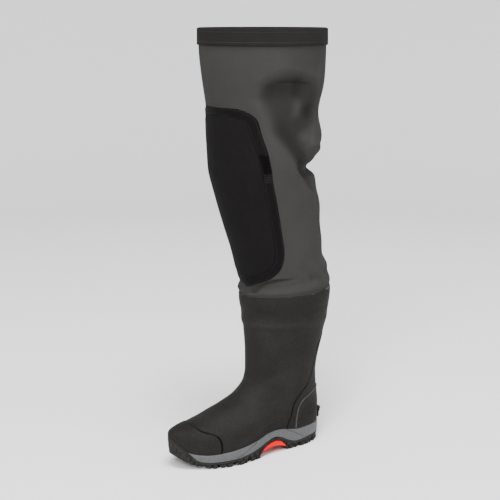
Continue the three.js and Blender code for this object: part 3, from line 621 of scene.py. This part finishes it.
def makeUpper():
    turn = np.arange(upperShape["columns"])[None, :] / upperShape["columns"]
    top = upperRows["rise"][-1]
    outerRise = np.linspace(0, top, upperShape["outerRows"])[:, None]
    outer = upperFace(turn, outerRise)
    relief = folds(outer, upperFolds) * ease(outerRise / upperShape["foldRise"])
    lip = np.clip((outerRise - top) / upperShape["lipRise"] + 1, 0, 1)
    relief = relief - upperShape["lipTaper"] * (1 - np.sqrt(1 - lip ** 2))
    outer += normalAt(upperFace, turn, outerRise) * relief[..., None]
    bow = np.linspace(0, np.pi, upperShape["edgeRows"] + 2)[1:-1, None]
    half = (boot["wall"] - upperShape["lipTaper"]) / 2
    inset = (np.cos(bow) - 1) * half - upperShape["lipTaper"]
    edge = offsetFace(upperFace, turn, np.full_like(bow, top), inset)
    edge[..., 2] += np.sin(bow) * half * upperShape["lipBow"]
    innerRise = np.linspace(top, 0, upperShape["innerRows"])[:, None]
    inner = offsetFace(upperFace, turn, innerRise, np.full_like(innerRise, -boot["wall"]))
    points = np.concatenate([outer, edge, inner])
    flat = {"flat": flatLengths(np.concatenate([points, points[:1]]))}
    high, glued = np.zeros(points.shape[:2]), np.zeros(points.shape[:2])
    high[: len(outer)] = np.broadcast_to(outerRise, outer.shape[:2])
    high[len(outer) : len(outer) + len(edge)] = top
    # Ring is a bell round the collar's ridge, which lightens the rubber there: a painted highlight.
    ring = np.exp(-((high - boot["ridgeRise"]) / upperShape["ringSpan"]) ** 2)
    waves = np.sin(turn * glue["waves"][0]) * np.sin(turn * glue["waves"][1])
    ragged = 1 - glue["rough"] + glue["rough"] * waves
    rim = ease((high - top) / glue["rise"] + 1)
    for middle, spread, strength in glue["spots"]:
        glued += strength * ease((spread - np.abs(turn - middle)) / glue["soft"]) * rim * ragged
    piece = latticeMesh("boot_upper", points, loop=True, flat=flat,
                        values={"high": high, "ring": ring, "glue": glued})
    finishPiece(piece, ["upper"], bootRubber)


# A raised patch: part of a face lifted by its thickness inside an outline, with a soft edge. Its rim dips
# below the face that carries it. Turns and rises each say from where to where, and in how many steps.
patchShape = {"sink": 0.7, "rimEdges": 2.5}


def makePatch(name, face, shape, distanceAt, node, material, relief=None, values=None):
    turn, rise = np.linspace(*shape["turns"])[None, :], np.linspace(*shape["rises"])[:, None]
    sink, edge = patchShape["sink"], shape["soft"]
    carried = face(turn, rise)
    d, along = distanceAt(carried)
    lift = -sink + (shape["thickness"] + sink) * ease((d + edge) / (2 * edge))
    if relief is not None:
        lift = lift + relief(carried, d, along)
    points = carried + normalAt(face, turn, rise) * lift[..., None]
    flat = {"flat": flatLengths(points), "edge": (along, d)}
    kept = {"inside": d, **{key: value(carried) for key, value in (values or {}).items()}}
    inside = d > -patchShape["rimEdges"] * edge
    piece = latticeMesh(name, points, wrap=False, keep=inside, flat=flat, values=kept)
    finishPiece(piece, [node], material)
    return piece


# Toe cap: its back edge is given as shares of the sole's length and half width, from the side to the middle.
toeCap = {
    "edge": [(0.67, 1.3), (0.7, 1.0), (0.74, 0.91), (0.79, 0.75), (0.852, 0.5), (0.869, 0.3), (0.876, 0.0)],
    "front": 1.3, "thickness": 1.5, "soft": 0.7, "turns": (0.28, 0.72, 260), "rises": (0, 6.6, 150),
    "capShadeAt": 1.0, "capShadeSpan": 1.5, "capShadeHalf": 44, "capShadeFade": 14,
}


# Distance inside the toe cap, seen from above, to its back edge.
def toeCapDistance(points):
    def edgePoint(along, side):
        x = soleX(along)
        return x, float(bendAt(x)) + side * sole["width"] / 2
    outer = [edgePoint(a, -s) for a, s in toeCap["edge"]]
    inner = [edgePoint(a, s) for a, s in reversed(toeCap["edge"][:-1])]
    back = smoothLine(outer + inner)
    front = soleX(toeCap["front"])
    outline = np.concatenate([back, [(front, back[-1][1]), (front, back[0][1])]])
    d, _ = insideDistance(points[..., :2], outline)
    best, along = lineDistance(points[..., :2], back)
    return np.sign(d) * best, along


# Heel counter: its edge and its raised cup's edge, as shares of the sole's length and the boot's height.
# Thin takes from the thickness above a height, and the shade's shift narrows the dark line of painted shade
# along the edge above another.
counter = {
    "edge": [(0.302, 0.08), (0.289, 0.16), (0.27, 0.22), (0.262, 0.29), (0.223, 0.348), (0.154, 0.41),
             (0.123, 0.469), (0.106, 0.548), (0.09, 0.64), (0.04, 0.71), (-0.2, 0.77)],
    "cup": [(0.235, 0.08), (0.231, 0.171), (0.223, 0.238), (0.2, 0.298), (0.135, 0.327), (0.075, 0.349),
            (-0.2, 0.37)],
    "thickness": 1.4, "soft": 0.7, "turns": (-0.24, 0.24, 300), "rises": (0, 14.6, 230),
    "cupHeight": 0.9, "cupSoft": 0.8, "beadHeight": 0.9, "beadAt": 0.6, "beadSpan": 1.3,
    "thin": 0.6, "thinFrom": 95, "thinRun": 60, "counterShadeShift": 0.8, "counterShadeFrom": 80, "counterShadeRun": 50,
}


# Distance inside an edge round the heel, seen from the side.
def sideDistance(points, edge):
    line = smoothLine([(soleX(a), boot["height"] * u) for a, u in edge])
    outline = np.concatenate([line, [(line[-1][0], line[0][1])]])
    d, _ = insideDistance(points[..., [0, 2]], outline)
    best, along = lineDistance(points[..., [0, 2]], line)
    return np.sign(d) * best, along


# A dark line of painted shade along the cap's edge: a bell of the distance to it, which fades at the sides.
def makeToeCap():
    def capShade(points):
        off = np.abs(points[..., 1] - bendAt(points[..., 0]))
        ahead = ease((toeCap["capShadeHalf"] - off) / toeCap["capShadeFade"])
        return np.exp(-((toeCapDistance(points)[0] - toeCap["capShadeAt"]) / toeCap["capShadeSpan"]) ** 2) * ahead

    makePatch("boot_toe_cap", upperFace, toeCap, toeCapDistance, "toe_cap", capRubber,
              values={"capShade": capShade})


# The cup is raised by an ease of the distance inside its edge, plus a bead, a bell of that distance.
def makeCounter():
    # The bead's bell raises the bead and also lightens the rubber along it: a painted highlight.
    def bead(points):
        d = sideDistance(points, counter["cup"])[0]
        return np.exp(-((d - counter["beadAt"]) / counter["beadSpan"]) ** 2)

    # A dark line of painted shade along the counter's edge, at its step down to the upper, narrower above a
    # height.
    def counterShade(points):
        high = ease((points[..., 2] - counter["counterShadeFrom"]) / counter["counterShadeRun"])
        return sideDistance(points, counter["edge"])[0] + counter["counterShadeShift"] * high

    def cup(points, d, along):
        thin = counter["thin"] * ease((points[..., 2] - counter["thinFrom"]) / counter["thinRun"])
        inside = sideDistance(points, counter["cup"])[0] + counter["cupSoft"]
        raised = counter["cupHeight"] * ease(inside / (2 * counter["cupSoft"]))
        return raised + counter["beadHeight"] * bead(points) - thin

    makePatch("boot_heel_counter", upperFace, counter, lambda points: sideDistance(points, counter["edge"]),
              "heel_counter", counterRubber, cup, {"bead": bead, "counterShade": counterShade})


# Outsole and spur start as the CAD solid, remeshed finely.
def remeshed(name, node, voxel):
    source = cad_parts[node]
    work = bpy.data.objects.new(name, source.data.copy())
    bpy.context.collection.objects.link(work)
    change = work.modifiers.new("remesh", "REMESH")
    change.mode = "VOXEL"
    change.voxel_size = voxel * mm
    graph = bpy.context.evaluated_depsgraph_get()
    mesh = bpy.data.meshes.new_from_object(work.evaluated_get(graph))
    work.modifiers.clear()
    work.data = mesh
    mesh.shade_smooth()
    return work


def meshArrays(piece):
    count = len(piece.data.vertices)
    points, normals = np.empty(count * 3, np.float32), np.empty(count * 3, np.float32)
    piece.data.vertices.foreach_get("co", points)
    piece.data.vertices.foreach_get("normal", normals)
    return points.reshape(-1, 3) / mm, normals.reshape(-1, 3).astype(float)


# Side blocks are a tooth long and a row high, and step in and out as if by chance. Slots part them. Chevron
# lugs lie underneath, a pitch apart. Notches cut the edge, and the wide ones are where the grooves end.
# Facing is how far a face has to turn to the side or down, and soft is over how far a thing begins.
blocks = {
    "voxel": 1.0, "tooth": 12.8, "lean": 0.3, "row": 7.6, "stagger": 0.37, "slot": 1.7, "soft": 0.9,
    "slotDepth": 1.9, "levelSlot": 1.0, "levelDepth": 0.7, "levelFrom": 3, "step": 1.6, "seed": 17,
    "strip": 3.8, "stripSoft": 1.2, "rim": 5, "facing": 0.85, "facingSoft": 0.2,
    "bumper": 0.9, "bumperShare": 0.5, "bumperRun": 12,
}
lugs = {
    "pitch": 14.6, "gap": 3.6, "middleGap": 2.4, "depth": 3.6, "soft": 0.6, "chevron": 0.45,
    "facing": 0.6, "facingSoft": 0.25, "below": 14, "edge": 4, "edgeSoft": 3,
}
notches = {
    "deep": 4.0, "wide": 2.4, "mainDeep": 6.5, "mainWide": 3.4, "mainSoft": 1.2, "mainRun": 2.6,
    "reach": 8, "reachSoft": 3, "top": 6, "topSoft": 4, "topShare": 0.4, "underBand": 5,
}
grooveShares = [0.09, 0.205, 0.585, 0.68, 0.776, 0.868]


# A number from 0 to 1 for each value, which looks random and is the same each time.
def hashed(values):
    return np.modf(np.abs(np.sin(values * 12.9898) * 43758.5453))[0]


# Distance to the nearest border of a row of cells, from a place counted in cells.
def toBorder(column, size):
    return (0.5 - np.abs(np.mod(column, 1) - 0.5)) * size


# Each vertex moves along its normal by its block's step less the slots' depth, and up by the cuts between
# lugs and the notches. Nothing goes below the floor.
def makeOutsole():
    piece = remeshed("sole_outsole", "outsole", blocks["voxel"])
    points, normals = meshArrays(piece)
    x, y, z = points.T
    ring = np.stack(outlinePoint(np.linspace(0, 1, 181), 0), -1)
    inward, along = lineDistance(points[:, :2], ring)
    # Side: staggered blocks with leaning slots between them, below a smooth strip along the top.
    storey = np.floor(z / blocks["row"])
    column = (along + blocks["lean"] * z) / blocks["tooth"] + blocks["stagger"] * storey
    border = toBorder(column, blocks["tooth"])
    slot = ease((blocks["slot"] - border) / blocks["soft"])
    level = toBorder(z / blocks["row"], blocks["row"])
    levelSlot = ease((blocks["levelSlot"] - level) / blocks["soft"]) * (z > blocks["levelFrom"])
    slot = np.maximum(slot, blocks["levelDepth"] * levelSlot)
    toMain = np.min([np.abs(x - soleX(share)) for share in grooveShares], axis=0)
    slot = np.maximum(slot, ease((notches["mainWide"] - toMain) / notches["mainSoft"]))
    top = np.minimum(soleHeight("band", x), soleHeight("feather", x))
    low = ease((top - blocks["strip"] - z) / blocks["stripSoft"])
    side = ease((blocks["facing"] - np.abs(normals[:, 2])) / blocks["facingSoft"])
    side = side * (inward < blocks["rim"]) * low
    ahead = sole["setback"] - x - blocks["bumper"] * sole["length"]
    side = side * mix(1, blocks["bumperShare"], ease(ahead / blocks["bumperRun"]))
    blockStep = (hashed(np.floor(column) + blocks["seed"] * storey) - 0.5) * blocks["step"]
    points = points + normals * ((blockStep - blocks["slotDepth"] * slot) * side)[:, None]
    # Tread: chevron lugs, cut back between them, and notches at the edge below each slot.
    down = ease((-normals[:, 2] - lugs["facing"]) / lugs["facingSoft"]) * (z < lugs["below"])
    offMiddle = np.abs(y - bendAt(x))
    chevron = x + offMiddle * lugs["chevron"]
    phase = np.abs(np.modf(np.abs(chevron / lugs["pitch"]))[0] - 0.5) * lugs["pitch"]
    channel = ease((lugs["gap"] / 2 + lugs["soft"] - phase) / (2 * lugs["soft"]))
    channel = channel + ease((lugs["middleGap"] - offMiddle) / (2 * lugs["soft"]))
    cut = np.clip(channel, 0, 1) * lugs["depth"] * down * ease((inward - lugs["edge"]) / lugs["edgeSoft"])
    nick = ease((notches["wide"] - toBorder(along / blocks["tooth"], blocks["tooth"])) / notches["wide"])
    mainNick = ease((notches["mainWide"] + notches["mainSoft"] - toMain) / notches["mainRun"])
    notch = np.maximum(notches["deep"] * nick, notches["mainDeep"] * mainNick)
    notch = notch * ease((notches["reach"] - inward) / notches["reachSoft"])
    notch = notch * ease((notches["top"] - z) / notches["topSoft"] + notches["topShare"])
    points[:, 2] = np.maximum(points[:, 2] + cut + notch * (z < top - notches["underBand"]), 0)
    piece.data.vertices.foreach_set("co", (points * mm).astype(np.float32).ravel())
    # The slot value darkens the tread's colour in slots and cuts: painted shade.
    shade = piece.data.attributes.new("slot", "FLOAT", "POINT")
    shade.data.foreach_set("value", np.maximum(slot * side, cut / lugs["depth"]).astype(np.float32))
    finishPiece(piece, ["outsole"], treadRubber)


# Kick spur: the CAD solid remeshed, with ribs across its back face, tapered towards its foot.
spur = {
    "voxel": 0.7, "rib": 0.45, "pitch": 4.2, "facing": 0.2, "facingSoft": 0.4,
    "taper": 2.4, "shoulder": 4.0, "run": 8.0, "root": 1.5, "rootSoft": 3,
}


# Ribs are a sine of the height on faces that look back. The taper grows downwards below the shoulder.
def makeSpur():
    piece = remeshed("boot_kick_spur", "kick_spur", spur["voxel"])
    points, normals = meshArrays(piece)
    x, _, z = points.T
    back = ease((normals[:, 0] - spur["facing"]) / spur["facingSoft"])
    rib = np.sin(z * 2 * np.pi / spur["pitch"]) * spur["rib"] * back
    out = ease((x - x.min() - spur["root"]) / spur["rootSoft"])
    taper = spur["taper"] * ease((z.max() - spur["shoulder"] - z) / spur["run"]) * out
    points = points + normals * rib[:, None] - taper[:, None] * np.array([1, 0, 0])
    piece.data.vertices.foreach_set("co", (points * mm).astype(np.float32).ravel())
    finishPiece(piece, ["kick_spur"], bootRubber)


# Midsole: rings up the outside from the outsole's band to the feather line, closed within the tray. It
# stands proud by half a sine wave of the way up, and its top corner is a quarter round.
midsoleShape = {
    "columns": 640, "bandRows": 26, "proud": 0.5, "inset": 0.2, "round": 1.2, "roundFrom": 0.88,
    "lineDepth": 0.5, "lineWide": 0.7, "lap": 12, "foot": 3,
}
midsoleLines = [[(-163, 15), (-144, 22), (-118, 33)], [(-49, 39), (-30, 30), (-11, 19)]]


def makeMidsole():
    turn = np.arange(midsoleShape["columns"]) / midsoleShape["columns"]
    rings = []

    def ring(inset, height):
        x, y = outlinePoint(turn, inset)
        rings.append(place(x, y, height(x)))

    ring(sole["rim"] + midsoleShape["foot"], lambda x: soleHeight("floor", x) + gap)
    ring(sole["rim"] + gap, lambda x: soleHeight("floor", x) + gap)
    bandTop = lambda x: np.minimum(soleHeight("band", x), soleHeight("feather", x)) + gap
    ring(sole["rim"] + gap, bandTop)
    for t in np.linspace(0, 1, midsoleShape["bandRows"]):
        bulge = -midsoleShape["proud"] * np.sin(np.pi * t)
        turned = np.clip((t - midsoleShape["roundFrom"]) / (1 - midsoleShape["roundFrom"]), 0, 1)
        corner = midsoleShape["round"] * (1 - np.sqrt(1 - turned ** 2))
        ring(midsoleShape["inset"] + bulge + corner, lambda x: mix(bandTop(x), soleHeight("feather", x), t))
    ring(sole["rim"], lambda x: soleHeight("feather", x))
    ring(sole["rim"] + midsoleShape["lap"], lambda x: soleHeight("feather", x) - gap)
    points = np.stack(rings)
    # Each line is a bell of the distance to it: the foam sinks in there and its colour darkens, painted
    # shade in the groove.
    line = np.zeros(points.shape[:2])
    for path in midsoleLines:
        d, _ = lineDistance(points[..., [0, 2]], np.asarray(path, float))
        line = np.maximum(line, np.exp(-(d / midsoleShape["lineWide"]) ** 2))
    points[..., 1] += np.where(points[..., 1] < 0, 1, -1) * midsoleShape["lineDepth"] * line
    piece = latticeMesh("sole_midsole", points, loop=True, values={"line": line})
    finishPiece(piece, ["midsole"], midsoleFoam)


# Leg: the sleeve with its folds, hollow, and turned in at the top under the hem. Bands are the rows of its
# outer face: from which rise, to which, and how many.
legShape = {"columns": 300, "lapRows": 8, "lap": -1.6, "innerRows": 36, "brim": 3.8, "brimRise": 0.02}
legBands = [(0.02, 3.6, 66), (3.6, 13.5, 112), (13.5, 14.6, 50), (14.6, 16, 20)]
legFolds = [
    {"line": [(-139, 622), (-135, 642), (-110, 657), (-74, 657), (-44, 648), (-24, 632), (-20, 606),
              (-28, 580), (-46, 566), (-64, 554), (-46, 530), (-28, 500), (-14, 466), (-36, 474), (-58, 502),
              (-82, 528), (-108, 554), (-122, 588)],
     "height": -8.0, "width": 26, "side": "outer", "dish": True},
    {"line": [(-116, 672), (-84, 676), (-44, 672), (-12, 666)], "height": -4.0, "width": 25, "side": "outer",
     "fade": 0.3},
    {"line": [(-120, 592), (-107, 568), (-84, 545), (-60, 515), (-38, 476)], "height": -2.2, "width": 13,
     "side": "outer", "fade": 0.2},
    {"line": [(-122, 644), (-104, 647), (-81, 646), (-60, 644), (-38, 640)], "height": -1.6, "width": 1.6,
     "side": "outer", "fade": 0.25},
    {"line": [(-122, 634), (-104, 634)], "height": -3.4, "width": 14, "side": "outer"},
    {"line": [(-77, 640), (-77, 630)], "height": -4.6, "width": 12, "side": "outer"},
    {"line": [(-74, 630), (-77, 574)], "height": 5.0, "width": 9, "side": "outer", "fade": 0.45},
    {"line": [(-46, 612), (-42, 584)], "height": -3.0, "width": 13, "side": "outer", "fade": 0.3},
    {"line": [(-134, 556), (-110, 528), (-82, 500), (-60, 470)], "height": 2.6, "width": 18, "side": "outer",
     "fade": 0.3},
    {"line": [(-50, 550), (-34, 541), (-12, 534)], "height": 6.8, "width": 12, "side": "outer",
     "fade": 0.25},
    {"line": [(-36, 350), (-27, 337), (-6, 320), (18, 300)], "height": 2.4, "width": 7, "side": "outer",
     "fade": 0.3},
    {"line": [(-48, 344), (-42, 334), (-26, 316), (-9, 302)], "height": -1.8, "width": 8, "side": "outer",
     "fade": 0.3},
    {"line": [(-111, 287), (-109, 291), (-103, 300), (-96, 308), (-84, 313), (-68, 314), (-46, 316)],
     "height": -4.8, "width": 2.6, "side": "outer", "fade": (0, 0.5)},
    {"line": [(-116, 291), (-112, 296), (-106, 305), (-98, 314), (-84, 320), (-68, 322)], "height": 2.2,
     "width": 4.5, "side": "outer", "fade": (0, 0.4)},
    {"line": [(-100, 300), (-60, 312), (0, 318)], "height": -2.5, "width": 5, "side": "inner", "fade": 0.3},
    {"line": [(-120, 600), (-90, 572), (-50, 540), (-20, 500)], "height": -4.5, "width": 18, "side": "inner",
     "fade": 0.25},
    {"line": [(-100, 640), (-50, 634)], "height": -1.8, "width": 2.6, "side": "inner", "fade": 0.3},
    {"line": [(-112, 622), (-60, 616)], "height": -3.5, "width": 14, "side": "inner", "fade": 0.3},
]


# The folds' height, which starts at nothing at the collar.
def legLift(points, rise):
    return folds(points, legFolds) * ease(np.broadcast_to(rise, points.shape[:-1]))


# The face with its folds. Above the boot's edge it starts further out, flush with the boot's side.
def legSkin(turn, rise):
    points = legFace(turn, rise)
    brim = legShape["brim"] * (1 - ease(rise)) * (rise >= legShape["brimRise"])
    return points + normalAt(legFace, turn, rise) * (legLift(points, rise) + brim)[..., None]


def makeLeg():
    turn = np.arange(legShape["columns"])[None, :] / legShape["columns"]
    top = legRows["rise"][-1]
    lap = np.linspace(legShape["lap"], 0, legShape["lapRows"])
    bands = [np.linspace(low, high, rows, endpoint=high == top) for low, high, rows in legBands]
    rises = np.concatenate([lap, *bands])[:, None]
    outer = legSkin(turn, rises)
    innerRise = np.linspace(top, legShape["lap"], legShape["innerRows"])[:, None]
    inner = legSkin(turn, innerRise) - leg["wall"] * normalAt(legFace, turn, innerRise)
    points = np.concatenate([outer, inner])
    # Lift keeps the folds' depth on the mesh, by which the cloth's colour darkens: painted shade.
    lift = np.zeros(points.shape[:2])
    lift[: len(outer)] = legLift(legFace(turn, rises), rises)
    flat = {"flat": flatLengths(np.concatenate([points, points[:1]]))}
    piece = latticeMesh("leg_sleeve", points, loop=True, flat=flat, values={"lift": lift})
    finishPiece(piece, ["leg"], legCloth)


# Hem: a binding folded over the leg's top. Its profile is a row of distance out, rise and lift, which goes
# up the outside, over the top, down the inside, and home between the binding and the leg.
hem = {
    "height": 26, "thickness": 2.6, "columns": 300, "outerRows": 24, "bowRows": 10, "innerRows": 8,
    "edgeShare": 0.75, "edgeLift": 0.2, "cornerLift": 1.2,
}


def makeHem():
    turn = np.arange(hem["columns"])[None, :] / hem["columns"]
    top = legRows["rise"][-1]
    low = top - hem["height"] / (leg["top"] * (1 - legRows["backUp"][-2]))
    out, far = gap + hem["thickness"], -(leg["wall"] + gap + hem["thickness"])
    profile = [(gap, low, 0), (out * hem["edgeShare"], low, hem["edgeLift"]), (out, low, hem["cornerLift"])]
    profile += [(out, low + (top - low) * t, 0) for t in np.linspace(0.1, 0.98, hem["outerRows"])]
    bow = np.linspace(0, np.pi, hem["bowRows"])
    middle, half = (out + far) / 2, (out - far) / 2
    profile += [(middle + np.cos(b) * half, top, gap + np.sin(b) * hem["thickness"]) for b in bow]
    profile += [(far, low + (top - low) * t, 0) for t in np.linspace(0.9, 0.0, hem["innerRows"])]
    profile += [(-(leg["wall"] + gap), low, 0), (-(leg["wall"] + gap), top, gap), (gap, top, gap)]
    rings = []
    for distance, rise, lift in profile:
        ring = offsetFace(legFace, turn, np.array([[rise]]), np.array([[distance]]))
        ring[..., 2] += lift
        rings.append(ring[0])
    points = np.stack(rings)
    flat = {"flat": flatLengths(np.concatenate([points, points[:1]]))}
    piece = latticeMesh("leg_hem", points, loop=True, flat=flat)
    finishPiece(piece, ["thigh_hem"], hemCloth)


# Knee pad, its border tape and the closure patch on it. The edge is given as shares of the leg's depth
# forward and of the pad's height. The patch reaches a half length up and down from a share of that height.
pad = {
    "bottom": 297, "height": 308, "thickness": 2.6, "soft": 0.9,
    "turns": (0.2, 0.8, 250), "rises": (1, 14, 210),
    "edge": [(0.604, -0.02), (0.535, 0.0), (0.508, 0.03), (0.446, 0.068), (0.391, 0.12), (0.375, 0.199),
             (0.393, 0.266), (0.457, 0.436), (0.540, 0.623), (0.594, 0.777), (0.637, 0.877), (0.664, 0.942),
             (0.710, 0.978), (0.779, 1.0), (0.887, 0.99), (1.069, 0.985)],
}
tape = {
    "width": 12, "overlap": 1, "thickness": 1.8, "soft": 0.8,
    "turns": (0.2, 0.8, 250), "rises": (1, 14, 210),
    "ribFrom": 483, "ribTo": 504, "ribPitch": 3.8, "ribHeight": 0.5, "ribEdge": 1.5,
    "ribIn": 4, "ribOut": 3,
}
closure = {
    "thickness": 3.4, "soft": 0.6, "turns": (0.22, 0.5, 160), "rises": (8.2, 11.2, 110),
    "middle": 0.72, "half": 17, "inset": 1, "ribPitch": 3.2, "ribHeight": 0.5, "ribEdge": 1.5, "far": 50,
}


# Distance inside the pad's edge, seen from the side.
def padDistance(points):
    line = smoothLine([(-leg["depth"] * f, pad["bottom"] + pad["height"] * u) for f, u in pad["edge"]])
    front = -2 * leg["depth"]
    outline = np.concatenate([line, [(front, line[-1][1]), (front, line[0][1])]])
    d, _ = insideDistance(points[..., [0, 2]], outline)
    best, along = lineDistance(points[..., [0, 2]], line)
    return np.sign(d) * best, along


# The panel fills the pad's edge, less the tape.
def makePad():
    inner = lambda points: tuple(v - o for v, o in zip(padDistance(points), (tape["width"] + gap, 0)))
    panel = makePatch("pad_panel", legSkin, pad, inner, "knee_pad", padCloth)


# The tape is a band inside the pad's edge, with ribs that are a sine of the height below the patch.
def makeTape():
    def band(points):
        d, along = padDistance(points)
        return np.minimum(d, tape["width"] + tape["overlap"] - d), along

    def ribs(points):
        d, z = band(points)[0], points[..., 2]
        spread = ease((d - tape["overlap"]) / tape["ribEdge"]) * (points[..., 1] < 0)
        spread = spread * ease((z - tape["ribFrom"]) / tape["ribIn"])
        spread = spread * ease((tape["ribTo"] - z) / tape["ribOut"])
        return (0.5 + 0.5 * np.sin(z * 2 * np.pi / tape["ribPitch"])) * spread

    # The ribs' wave also lightens the tape's colour on their crests: a painted highlight.
    makePatch("pad_tape", legSkin, tape, band, "knee_pad_tape", tapeCloth,
              lambda points, d, along: tape["ribHeight"] * ribs(points), {"rib": ribs})


# The patch is where the tape's band and a height meet, on the outer side, with ribs across it.
def makeClosure():
    def patch(points):
        d, along = padDistance(points)
        off = np.abs(points[..., 2] - (pad["bottom"] + pad["height"] * closure["middle"]))
        outer = np.where(points[..., 1] < 0, closure["far"], -closure["far"])
        across = np.minimum(d - closure["inset"], tape["width"] - closure["inset"] - d)
        return np.minimum.reduce([across, closure["half"] - off, outer]), along

    def ribs(points, d, along):
        wave = np.sin(points[..., 2] * 2 * np.pi / closure["ribPitch"])
        return closure["ribHeight"] * wave * ease(d / closure["ribEdge"])

    makePatch("pad_closure", legSkin, closure, patch, "pocket_closure", closureRubber, ribs)


print("start")
makeUpper()
makeToeCap()
makeCounter()
makeOutsole()
makeSpur()
makeMidsole()
makeLeg()
makeHem()
makePad()
makeTape()
makeClosure()
for name, material in (("arch_plate", platePlastic), ("insole", insoleCloth)):
    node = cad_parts[name]
    node.data.materials.clear()
    node.data.materials.append(material)
print("pieces made")

# Camera: it looks at its aim from so many metres away.
view = {"away": 2.0, "azimuth": -125.1, "elevation": 11.3, "lens": 84.5, "aim": (-0.1, 0.0, 0.36)}


def addCamera():
    az, el = (math.radians(view[k]) for k in ("azimuth", "elevation"))
    data = bpy.data.cameras.new("camera")
    data.lens = view["lens"]
    camera = bpy.data.objects.new("camera", data)
    bpy.context.collection.objects.link(camera)
    aim = Vector(view["aim"])
    level = view["away"] * math.cos(el)
    camera.location = aim + Vector((level * math.cos(az), level * math.sin(az), view["away"] * math.sin(el)))
    camera.rotation_euler = (aim - camera.location).to_track_quat("-Z", "Y").to_euler()
    bpy.context.scene.camera = camera


# Lamps: metres for place and size. They all point at the camera's aim.
lamps = {
    "key": {"place": (-3.4, -2.9, 3.6), "across": 1.7, "watts": 240},
    "fill": {"place": (2.4, -3.6, 2.9), "across": 1.6, "watts": 50},
    "top": {"place": (-0.9, -1.6, 4.8), "across": 2.2, "watts": 410},
}
studio = {"colour": (0.92, 0.94, 0.97, 1), "strength": 0.4}


def addLights():
    for name, lamp in lamps.items():
        data = bpy.data.lights.new(name, "AREA")
        data.size = lamp["across"]
        data.energy = lamp["watts"]
        made = bpy.data.objects.new(name, data)
        bpy.context.collection.objects.link(made)
        made.location = lamp["place"]
        toAim = Vector(view["aim"]) - Vector(lamp["place"])
        made.rotation_euler = toAim.to_track_quat("-Z", "Y").to_euler()
    world = bpy.data.worlds.new("studio")
    world.use_nodes = True
    sky = world.node_tree.nodes["Background"]
    sky.inputs["Color"].default_value = studio["colour"]
    sky.inputs["Strength"].default_value = studio["strength"]
    bpy.context.scene.world = world


# Floor: a round sheet, flat near the piece, whose edge rises softly with the square of the distance. Metres.
floorShape = {
    "flat": 2.6, "reach": 6.4, "rise": 0.24, "below": 0.0001, "start": 0.02, "rows": 60, "columns": 96,
    "paint": (0.88, 0.88, 0.88, 1), "roughness": 0.9,
}


def addFloor():
    angle = np.linspace(0, 2 * np.pi, floorShape["columns"] + 1)[None, :-1]
    reach = np.linspace(floorShape["start"], floorShape["reach"], floorShape["rows"])[:, None]
    height = floorShape["rise"] * np.maximum(reach - floorShape["flat"], 0) ** 2 - floorShape["below"]
    points = place(reach * np.cos(angle), reach * np.sin(angle), height) / mm
    middle = np.broadcast_to([0.0, 0.0, -floorShape["below"] / mm], (1,) + points.shape[1:])
    floor = latticeMesh("floor", np.concatenate([middle, points]))
    paint = bpy.data.materials.new("floor_paint")
    paint.use_nodes = True
    shader = paint.node_tree.nodes["Principled BSDF"]
    shader.inputs["Base Color"].default_value = floorShape["paint"]
    shader.inputs["Roughness"].default_value = floorShape["roughness"]
    floor.data.materials.append(paint)


addCamera()
addLights()
addFloor()
